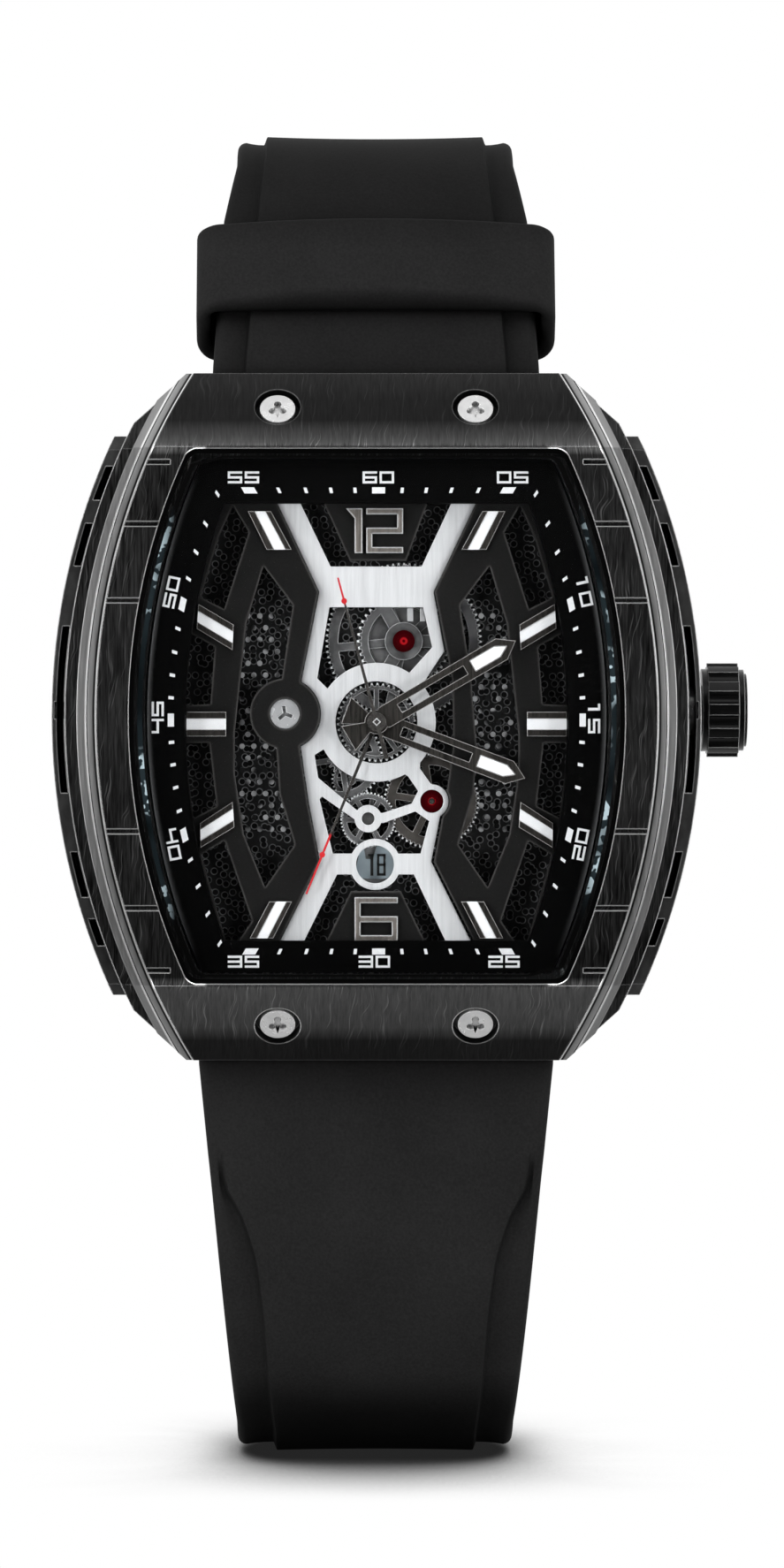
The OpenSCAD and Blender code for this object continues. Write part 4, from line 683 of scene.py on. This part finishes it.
def strap_path(start, lean, crest, rear, tail, marks):
    """Middle line of a strap half in the side view, with its outward direction.

    A straight run leaves the case leaning back by lean, an arc turns it round to
    straight down, and a straight back ends at tail. marks are heights on the back
    at which a row of points must lie.
    """
    steps = 16
    first_y, first_z = leaves_case(start, lean)
    turned = (1 - np.sin(lean)) / (1 + np.cos(lean))
    run = ((crest - first_z - (rear - first_y) * turned)
           / (np.cos(lean) - np.sin(lean) * turned))
    r = (rear - first_y - run * np.sin(lean)) / (1 + np.cos(lean))
    middle = np.array([rear - r, crest - r])
    heading = np.concatenate([np.full(steps, lean), np.linspace(lean, np.pi, 60)[1:]])
    outward = np.stack([-np.cos(heading), np.sin(heading)], axis=1)
    line = middle + r * outward
    line[:steps] -= np.linspace(run, 0, steps)[:, None] * [np.sin(lean), np.cos(lean)]
    down = np.unique(np.concatenate([
        np.arange(tail, middle[1] - 1.5, 1.5), marks, tail + np.array([0.1, 0.3, 0.6, 1, 2, 3])]))
    down = down[(down > tail - 1e-9) & (down < middle[1] - 0.5)][::-1]
    line = np.concatenate([line, np.stack([np.full(len(down), rear), down], axis=1)])
    outward = np.concatenate([outward, np.tile([1.0, 0.0], (len(down), 1))])
    return line, outward, middle


def strap_rings(half, panel, depth, thick, dish):
    """Cross-sections of a strap as (across, outward) points, one row for each ring.

    Half of a section runs from the middle of the outer face over the raised panel,
    down a soft shoulder to the ledge, round the edge and back along the inner face;
    the other half mirrors it. The columns beside the middle mark the holes' sides.
    """
    r = np.minimum(0.62, thick * 0.55)
    panel = np.minimum(panel, half - r - 0.55)
    shoulder = 0.3
    flare = depth * 0.28
    hole_side = np.full_like(half, hole_half_w)
    across, out = [], []
    for w in [panel * 0.0, hole_side] + [panel * k for k in (0.4, 0.65, 0.85, 0.95, 1.0)]:
        across.append(w)
        out.append(thick - dish * (1 - (w / panel) ** 2))
    for k in (0.12, 0.3, 0.5, 0.7, 0.88, 1.0):
        across.append(panel + shoulder * k)
        out.append(thick - depth * (3 * k * k - 2 * k ** 3))
    for k in (0.35, 0.7, 1.0):
        across.append(panel + shoulder + (half - r - panel - shoulder) * k)
        out.append(thick - depth + flare * k * k)
    for turn in np.radians([18, 36, 54, 72, 90]):
        across.append(half - r + r * np.sin(turn))
        out.append(thick - depth + flare - r * (1 - np.cos(turn)))
    for turn in np.radians([0, 22, 45, 68, 90]):
        across.append(half - r + r * np.cos(turn))
        out.append(-thick + r - r * np.sin(turn))
    for w in (half * 0.6, half * 0.3, hole_side, np.zeros_like(half)):
        across.append(w)
        out.append(-thick)
    across, out = np.stack(across, axis=1), np.stack(out, axis=1)
    return (np.concatenate([across, -across[:, -2:0:-1]], axis=1),
            np.concatenate([out, out[:, -2:0:-1]], axis=1), across.shape[1])


def strap_half(start, lean, crest, rear, tail, edge, raised, turn, tongue, holes=(), tip_r=0):
    """One strap half: its sections carried along its path, with its tongue and buckle holes.

    edge and raised give (distance from the dial's middle, half width) of the strap and of
    its raised panel, turn is 1 upwards and -1 downwards, tongue is where its end lies in
    the case, and tip_r rounds the corners of its tail.
    """
    marks = np.array([z + s for z in holes for s in (-hole_half_l, hole_half_l)])
    line, outward, middle = strap_path(start, lean, crest, rear, tail, marks)
    reach = np.abs(line[:, 1])
    behind = line[:, 0] > middle[0]
    half = np.where(behind, edge[-1][1], np.interp(reach, *np.array(edge).T))
    panel = np.where(behind, raised[-1][1], np.interp(reach, *np.array(raised).T))
    thick = np.full(len(line), strap_t / 2)
    depth = ledge_d * np.clip((half - panel) / 0.9 - 0.1, 0, 1) ** 0.6
    dish = 0.28 * np.clip(np.linspace(0, 1, len(line)) * 4 - 1, 0, 1)
    if tip_r:
        left = np.clip(tip_r - (line[:, 1] - tail), 0, tip_r)
        cut = np.where(behind, tip_r - np.sqrt(tip_r ** 2 - left ** 2), 0)
        half, panel = half - cut, panel - cut
    # The tongue that lies in the case's slot, thinner than the strap
    line = np.concatenate([[[lug_y, z] for z in (tongue, start - 0.15, start - 0.12)], line])
    outward = np.concatenate([np.tile([-1.0, 0.0], (3, 1)), outward])
    thick = np.concatenate([[1.1, 1.1, 1.35], thick])
    half, panel, depth, dish = (np.concatenate([np.full(3, v[0]), v])
                                for v in (half, panel, depth, dish))
    across, out, middle_col = strap_rings(half, panel, depth, thick, dish)
    rows, cols = across.shape
    points = np.stack([across, line[:, :1] + outward[:, :1] * out,
                       turn * (line[:, 1:] + outward[:, 1:] * out)], axis=-1)
    quads = grid_faces(rows, cols)
    row, col = quads[:, 0] // cols, quads[:, 0] % cols
    over = np.isin(col, (cols - 1, 0, middle_col - 2, middle_col - 1))
    top = np.array([cols - 1, 0, 1])
    under = np.array([middle_col, middle_col - 1, middle_col - 2])
    keep = np.ones(len(quads), bool)
    walls = []
    for z in holes:
        by_hole = (np.abs(line[:, 1] - z) < hole_half_l + 0.01) & (line[:, 0] > rear - 0.01)
        first, last = np.where(by_hole)[0][[0, -1]]
        keep &= ~(over & (row >= first) & (row < last))
        for i in (first, last):
            walls += [[i * cols + top[k], i * cols + top[k + 1],
                       i * cols + under[k + 1], i * cols + under[k]] for k in (0, 1)]
        for i in range(first, last):
            walls += [[i * cols + top[k], (i + 1) * cols + top[k],
                       (i + 1) * cols + under[k], i * cols + under[k]] for k in (0, 2)]
    ends = [list(range(cols)), list(range((rows - 1) * cols, rows * cols))]
    return points.reshape(-1, 3), quads[keep].tolist() + walls + ends


def bar_ears(points, faces, upto):
    """Adds the two rounded ears that hold the buckle bar, either side of the tang's notch.

    In the side view an ear is a half disc about the bar with straight sides up to a
    height, and its outline narrows a little at each of its side faces.
    """
    turn = np.linspace(0, -np.pi, 13)
    end = upto - bar_z
    side = np.concatenate([[[strap_t / 2, end]], polar(strap_t / 2, turn),
                           [[-strap_t / 2, end]]]) + [loop_depth, bar_z]
    n = len(side)
    for low, high in ((-rear_half, -notch), (notch, rear_half)):
        soft = ((low, 0.86), (low + 0.12, 0.96), (low + 0.3, 1.0),
                (high - 0.3, 1.0), (high - 0.12, 0.96), (high, 0.86))
        rings = [np.stack([np.full(n, x), loop_depth + (side[:, 0] - loop_depth) * k,
                           side[:, 1]], axis=1) for x, k in soft]
        base = len(points)
        points = np.concatenate([points] + rings)
        faces = faces + (grid_faces(len(soft), n) + base).tolist()
        faces += [list(range(base + i * n, base + (i + 1) * n)) for i in (0, len(soft) - 1)]
    return points, faces


points, faces = strap_half(
    upper_start, upper_lean, upper_crest, loop_depth, bar_z + 1.8,
    [[20, 11.7], [25, 11.7], [36, 11], [40.3, rear_half], [60, rear_half]],
    [[18, 9.3], [25, 9.25], [30, 8.85], [36, 8.4], [40.3, 7.9], [60, 7.9]], 1, 21.3)
points, faces = bar_ears(points, faces, bar_z + 1.9)
upper = new_piece("strap_upper_rubber", points, faces, finishes["strap_rubber"], "case")
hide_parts("strap_upper")
points, faces = strap_half(
    lower_start, lower_lean, lower_crest, lower_depth, -tail_end,
    [[20, 12.7], [24.1, 12.7], [50.5, rear_half], [60, rear_half]],
    [[18, 14], [29.0, 14], [30.5, 12.1], [32.7, 10.85], [35.4, 9.45], [38.3, 8.5], [41.9, 8],
     [46.8, 7.6], [50.5, 7.2], [60, 7.2]], -1, 20.6, hole_places, tail_r)
lower = new_piece("strap_lower_rubber", points, faces, finishes["strap_rubber"], "case")
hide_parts("strap_lower")


def rounded_rect(w, h, r, n, bow=0.0):
    """Closed outline with n points to each round corner and side, its far side bowed out."""
    corners = []
    for quarter, (sx, sy) in enumerate(((1, 1), (-1, 1), (-1, -1), (1, -1))):
        turn = np.radians(90 * quarter) + np.linspace(0, np.pi / 2, n)
        corners.append([sx * (w / 2 - r), sy * (h / 2 - r)] + polar(r, turn))
    along = np.linspace(0, 1, n + 2)[1:-1, None]
    rows = []
    for here, after in zip(corners, corners[1:] + corners[:1]):
        rows += [here, here[-1] * (1 - along) + after[0] * along]
    ring = np.concatenate(rows)
    share = np.clip(1 - (ring[:, 0] / (w / 2 - r * 0.3)) ** 2, 0, 1)
    ring[:, 1] -= np.where(ring[:, 1] < 0, bow * share, 0)
    return ring


def band(name, w, inner_t, bow, low, high, slant, place, lean, body, node_name):
    """A keeper: the wall between an inner and an outer outline, with a soft rim at each end.

    Going round the wall's section, through counts shares of its thickness from the inner
    outline to the outer one, and inset how far the rim has sunk from the keeper's end.
    """
    n = 10
    rim = 0.42
    clear_w, clear_t = w + 2 * keeper_gap, inner_t + 2 * keeper_gap
    inner = rounded_rect(clear_w, clear_t, 0.5, n)
    outer = rounded_rect(clear_w + 2 * keeper_t, clear_t + 2 * keeper_t, 1.7, n, bow)
    turn = np.radians([0, 22, 45, 68, 90])
    u, v = rim * (1 - np.cos(turn)), rim * (1 - np.sin(turn))
    through = np.concatenate([1 - u, [0.5], u[::-1], u, [0.5], 1 - u[::-1]])
    inset = 1.1 * keeper_t * np.concatenate([v, [0], v[::-1]] * 2)
    far_end = np.arange(len(inset)) < len(inset) // 2
    across = inner[:, None, :] + (outer - inner)[:, None, :] * through[None, :, None]
    depth = across[..., 1]
    bottom = low + np.tan(slant) * (depth + inner_t / 2 + keeper_t)
    along = np.maximum(np.where(far_end, high - inset, bottom + inset), bottom)
    points = np.stack([across[..., 0], place[0] + depth * np.cos(lean) + along * np.sin(lean),
                       place[1] - depth * np.sin(lean) + along * np.cos(lean)], axis=-1)
    faces = grid_faces(len(inner), len(through), wrap_rows=True).tolist()
    piece = new_piece(name, points.reshape(-1, 3), faces, finishes["strap_rubber"], body)
    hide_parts(node_name)


band("keeper_rubber", 23.4, strap_t, 1.2, 4.5, 11.2, -np.radians(20),
     leaves_case(upper_start, upper_lean), upper_lean, "keeper", "keeper")
band("tail_keeper_rubber", 2 * rear_half, strap_t + lower_depth - loop_depth, 0.0, 3.0, 8.0, 0.0,
     ((loop_depth + lower_depth) / 2, 0.0), 0.0, "tail_keeper", "tail_keeper")


# Edge of the crystal

def bowed_outline(w, l, r, c, n):
    """Closed outline with straight ends, sides bowed to radius r and corners rounded to radius c.

    A corner's centre lies r - c from the middle of its side's arc and c within the end,
    so both run on smoothly.
    """
    middle = np.array([w / 2 - r + np.sqrt((r - c) ** 2 - (l / 2 - c) ** 2), l / 2 - c])
    lean = np.arcsin((l / 2 - c) / (r - c))
    right = np.concatenate([[w / 2 - r, 0] + polar(r, np.linspace(-lean, lean, 3 * n)),
                            middle + polar(c, np.linspace(lean, np.pi / 2, n)[1:])])
    along = np.linspace(0, 1, n + 2)[1:-1, None]
    upper = np.concatenate([right, right[-1] * (1 - along) + right[-1] * [-1, 1] * along])
    return np.concatenate([upper, -upper])


outer_edge = bowed_outline(opening_w - 1.2, opening_l - 1.0, 44.5, 1.0, 16)
inner_edge = bowed_outline(opening_w - 1.9, opening_l - 1.3, 44.15, 0.9, 16)
edge_low, edge_high = crystal_drop + 0.05, crystal_drop - 0.03
rows = [np.stack([ring[:, 0], -front(ring[:, 1] + case_off, deep), ring[:, 1] + case_off], axis=1)
        for ring, deep in ((outer_edge, edge_low), (outer_edge, edge_high),
                           (inner_edge, edge_high), (inner_edge, edge_low))]
new_piece("crystal_edge", np.concatenate(rows),
          grid_faces(4, len(outer_edge), wrap_rows=True).tolist(),
          glass_edge("glass_edge"), "case")


# Printing on the flange and the date disc

def bars(thin, tall):
    """The bars of squared figures in a box one unit wide and high: left, bottom, right, top."""
    return {"left": (0, 0, thin, 1), "right": (1 - thin, 0, 1, 1), "top": (0, 1 - tall, 1, 1),
            "bottom": (0, 0, 1, tall), "middle": (0, 0.5 - tall / 2, 1, 0.5 + tall / 2),
            "upper left": (0, 0.45, thin, 1), "upper right": (1 - thin, 0.45, 1, 1),
            "lower left": (0, 0, thin, 0.55), "lower right": (1 - thin, 0, 1, 0.55),
            "stem": (0.42, 0, 0.42 + thin * 1.2, 1), "flag": (0.14, 1 - tall, 0.5, 1)}


figures = {
    "0": ("left", "right", "top", "bottom"), "1": ("stem", "flag"),
    "2": ("top", "upper right", "middle", "lower left", "bottom"),
    "3": ("top", "right", "middle", "bottom"), "4": ("upper left", "middle", "right"),
    "5": ("top", "upper left", "middle", "lower right", "bottom"),
    "6": ("top", "left", "middle", "lower right", "bottom"), "7": ("top", "right"),
    "8": ("left", "right", "top", "middle", "bottom"),
    "9": ("top", "upper left", "middle", "right", "bottom")}


def figure_bars(text, w, h, step, stroke):
    """Corner points of the bars of a number, centred on its middle: (bars, 4 corners, 2)."""
    shapes = bars(stroke / w, stroke / h)
    boxes = np.array([shapes[b] for c in text for b in figures[c]])
    shift = np.array([i * step for i, c in enumerate(text) for b in figures[c]])
    x0, y0, x1, y1 = (boxes * [w, h, w, h]).T
    x0, x1 = x0 + shift, x1 + shift
    quads = np.stack([np.stack([x0, x1, x1, x0], 1), np.stack([y0, y0, y1, y1], 1)], axis=-1)
    return quads - [(w + step * (len(text) - 1)) / 2, h / 2]


def turned(quads, degrees, at=(0, 0)):
    """Quads turned anticlockwise about the origin, then moved."""
    a = np.radians(degrees)
    return quads @ np.array([[np.cos(a), np.sin(a)], [-np.sin(a), np.cos(a)]]) + at


def printed(name, quads, height, proud, finish, body):
    """Raised print: each quad of (x, z) corners is a block that stands proud of a height."""
    x, z = quads[..., 0], quads[..., 1]
    levels = [np.broadcast_to(height + step, x.shape) for step in (-0.02, proud)]
    points = np.concatenate([np.stack([x, -level, z], axis=-1) for level in levels], axis=1)
    block = np.array([[3, 2, 1, 0], [4, 5, 6, 7], [0, 1, 5, 4], [1, 2, 6, 5], [2, 3, 7, 6],
                      [3, 0, 4, 7]])
    faces = (block[None] + 8 * np.arange(len(quads))[:, None, None]).reshape(-1, 4)
    mesh = bpy.data.meshes.new(name)
    mesh.from_pydata((points.reshape(-1, 3) * MM).tolist(), [], faces.tolist())
    in_scene(name, mesh, finish, body)


def minute_track():
    """Ticks where the radial line of each minute meets the track, straight at the ends.

    At the sides the track is bowed. With s and c the sine and cosine of the minute's
    angle, a point t along its line lies there where t |s| = side - (t c - up)^2 / (2 bow_r),
    a quadratic in t. Major ticks, one in five, are wider.
    """
    side, up, bow_r = 14.48, 0.3, 35.5
    minute = np.arange(60)
    a = np.radians(6.0 * minute)
    s, c = np.sin(a), np.cos(a)
    level = np.abs(c) < 1e-6
    to_end = np.where(level, 1e9, np.where(c > 0, 16.3, -16.15) / np.where(level, 1, c))
    p = c * c / (2 * bow_r)
    q = np.abs(s) - up * c / bow_r
    r = up ** 2 / (2 * bow_r) - side
    root = np.sqrt(np.maximum(q * q - 4 * p * r, 0))
    to_side = np.where(p < 1e-9, -r / np.maximum(np.abs(q), 1e-9),
                       (-q + root) / np.maximum(2 * p, 1e-12))
    on_end = (to_end < to_side)[:, None]
    at = np.minimum(to_end, to_side)[:, None] * np.stack([s, c], axis=1)
    at = np.where(on_end, at * [0.97, 1] + [0.14, 0], at * [1, 1.03] + [0, 0.12])
    out = np.where(on_end, np.stack([0 * s, np.sign(c)], axis=1),
                   np.stack([np.sign(s), (at[:, 1] - up) / bow_r], axis=1))
    out /= np.linalg.norm(out, axis=1)[:, None]
    aside = np.stack([out[:, 1], -out[:, 0]], axis=1)
    major = (minute % 5 == 0)[:, None]
    radial = np.stack([s, c], axis=1)
    reach = radial / np.maximum(np.abs((radial * out).sum(1)), 0.3)[:, None]
    reach, aside = reach * np.where(major, 0.22, 0.19), aside * np.where(major, 0.46, 0.11)
    return np.stack([at - reach - aside, at - reach + aside,
                     at + reach + aside, at + reach - aside], axis=1)


white_print = matte("white_print", grey(0.78), grey(0.88), size=4000.0, depth=0.05, Roughness=0.5)
black_print = matte("black_print", grey(0.004), grey(0.007), size=4000.0, depth=0.05,
                    Roughness=0.5)

# Numbers of the minute track: place of their middle and turn in degrees
track_numbers = {
    "60": (0.12, 17.22, 0), "05": (9.6, 17.22, 0), "10": (14.6, 9.2, -78),
    "15": (15.28, 0.3, -90), "20": (14.35, -8.6, 79), "25": (9.0, -16.87, 0),
    "30": (-0.16, -16.87, 0), "35": (-9.4, -16.87, 0), "40": (-14.35, -8.6, -79),
    "45": (-15.4, 0.3, 90), "50": (-14.45, 9.1, 78), "55": (-9.4, 17.22, 0)}
flange_marks = np.concatenate([
    turned(figure_bars(text, 1.02, 0.86, 1.2, 0.165), tilt, (x, z))
    for text, (x, z, tilt) in track_numbers.items()] + [minute_track()])
ring_depth = crystal_drop + crystal_t + 0.05
printed("flange_printing", flange_marks, front(flange_marks[..., 1], ring_depth), 0.02,
        white_print, "case")

# The days round the date disc, with the shown day at the window
days, shown_day, day_r, disc_top = 31, 18, 10.1, 6.22
date_marks = [turned(figure_bars(str(day), 0.62, 1.55, 0.72, 0.17) - [0, day_r],
                     -(day - shown_day) * 360 / days) for day in range(1, days + 1)]
printed("date_printing", np.concatenate(date_marks), disc_top, 0.03, black_print, "date_disc")

# Small bright details: the bars beside the ratchet's hub and the pin in the seconds hand's hub
click_bars = np.array([[[low, 7.15], [high, 7.15], [high, 8.5], [low, 8.5]]
                       for low, high in ((2.2, 2.6), (3.1, 3.48))])
printed("click_bars", click_bars, 7.77, 0.46, pin_finish, "case")
corner = polar(1.0, np.radians([0, 90, 180, 270]))
hub_pin = np.array([[0.19 * corner[k], 0.19 * corner[k - 1], 0.3 * corner[k - 1], 0.3 * corner[k]]
                    for k in range(4)])
printed("hub_pin", hub_pin, seconds_top, 0.05, pin_finish, "seconds")


# Studio

def camera():
    """Straight from the front, half a metre away.

    It stands left of the middle with the lens shifted back, as the strap's ends show.
    """
    data = bpy.data.cameras.new("front_view")
    data.sensor_fit = "VERTICAL"
    data.sensor_height = 36.0
    data.lens = 162.34
    data.clip_start = 0.01
    data.clip_end = 20.0
    data.shift_x = 4.0 / 110.9
    made = bpy.data.objects.new("front_view", data)
    made.location = mm((-2.906, -510, -4.375))
    made.rotation_euler = (np.pi / 2, 0, 0)
    bpy.context.scene.collection.objects.link(made)
    bpy.context.scene.camera = made


def lamp(name, place, size, power):
    """A soft rectangular lamp turned towards the origin."""
    data = bpy.data.lights.new(name, "AREA")
    data.shape = "RECTANGLE"
    data.size, data.size_y = size
    data.energy = power
    made = bpy.data.objects.new(name, data)
    made.location = place
    made.rotation_euler = (-Vector(place)).to_track_quat("-Z", "Y").to_euler()
    bpy.context.scene.collection.objects.link(made)


def surroundings():
    """White to the camera; for all else a pale room, white behind the object, dim before it."""
    world = bpy.data.worlds.new("studio")
    world.use_nodes = True
    bpy.context.scene.world = world
    tree = world.node_tree
    way = node(tree, "SeparateXYZ", {0: node(tree, "TexCoord").outputs["Generated"]}).outputs
    behind = spread(tree, way[1], -0.75, 0.35, 0.05, 1.0)
    above = spread(tree, way[2], 0.3, 0.9, 0.0, 0.2)
    level = math(tree, "MINIMUM", math(tree, "ADD", behind, above), 1.0)
    path = node(tree, "LightPath").outputs
    dim = product(tree, level, spread(tree, path["Is Diffuse Ray"], 0.0, 1.0, 1.0, 0.6))
    feed(tree, tree.nodes["Background"].inputs,
         {"Color": (1, 1, 1, 1), "Strength": math(tree, "MAXIMUM", dim, path["Is Camera Ray"])})


def floor():
    """A wide pale floor under the strap's loop: white to the camera, with a painted shadow near the
    object.

    Its part in front of the object, which only reflections reach, is dim.
    """
    z = -53.72 * MM
    reach = 4.0
    cells_a_side = 8
    line = np.linspace(-reach, reach, cells_a_side + 1)
    x, y = np.meshgrid(line, line)
    points = np.stack([x.ravel(), y.ravel(), np.full(x.size, z)], axis=1)
    i, j = np.meshgrid(np.arange(cells_a_side), np.arange(cells_a_side), indexing="ij")
    first = i * len(line) + j
    faces = np.stack([first, first + 1, first + len(line) + 1, first + len(line)], axis=-1)
    mesh = bpy.data.meshes.new("floor")
    mesh.from_pydata(points.tolist(), [], faces.reshape(-1, 4).tolist())
    material = bpy.data.materials.new("floor_white")
    material.use_nodes = True
    tree = material.node_tree
    tree.nodes.remove(tree.nodes["Principled BSDF"])
    # Painted shadow: the floor darkens where the object lies within reach
    shade = spread(tree, ambient(tree, 0.034, 16), 0.2, 0.84)
    path = node(tree, "LightPath").outputs
    mirrored = spread(tree, axes(tree)[1], -0.06, 0.04, 0.03, 1.0)
    seen = node(tree, "Emission", {
        "Color": mixed(tree, product(tree, shade, shade), grey(0.018), (1, 1, 1, 1)),
        "Strength": math(tree, "MAXIMUM", path["Is Camera Ray"], mirrored)}).outputs[0]
    lit = node(tree, "BsdfDiffuse", {"Color": grey(0.75)}).outputs[0]
    direct = math(tree, "MAXIMUM", path["Is Camera Ray"], path["Is Glossy Ray"])
    direct = math(tree, "MAXIMUM", direct, path["Is Transmission Ray"])
    both = node(tree, "MixShader", {0: direct, 1: lit, 2: seen}).outputs[0]
    tree.links.new(both, tree.nodes["Material Output"].inputs[0])
    mesh.materials.append(material)
    made = bpy.data.objects.new("floor", mesh)
    bpy.context.scene.collection.objects.link(made)


camera()
surroundings()
floor()
lamp("left_softbox", (-0.5, -0.34, 0.1), (0.3, 0.6), 2.6)
lamp("right_softbox", (0.5, -0.34, 0.1), (0.3, 0.6), 2.0)
lamp("top_softbox", (0.0, -0.3, 0.5), (0.6, 0.3), 0.5)
lamp("left_front", (-0.26, -0.48, 0.0), (0.08, 0.1), 0.55)
lamp("right_front", (0.26, -0.48, 0.0), (0.08, 0.1), 0.55)

bpy.context.scene.view_settings.view_transform = "Standard"
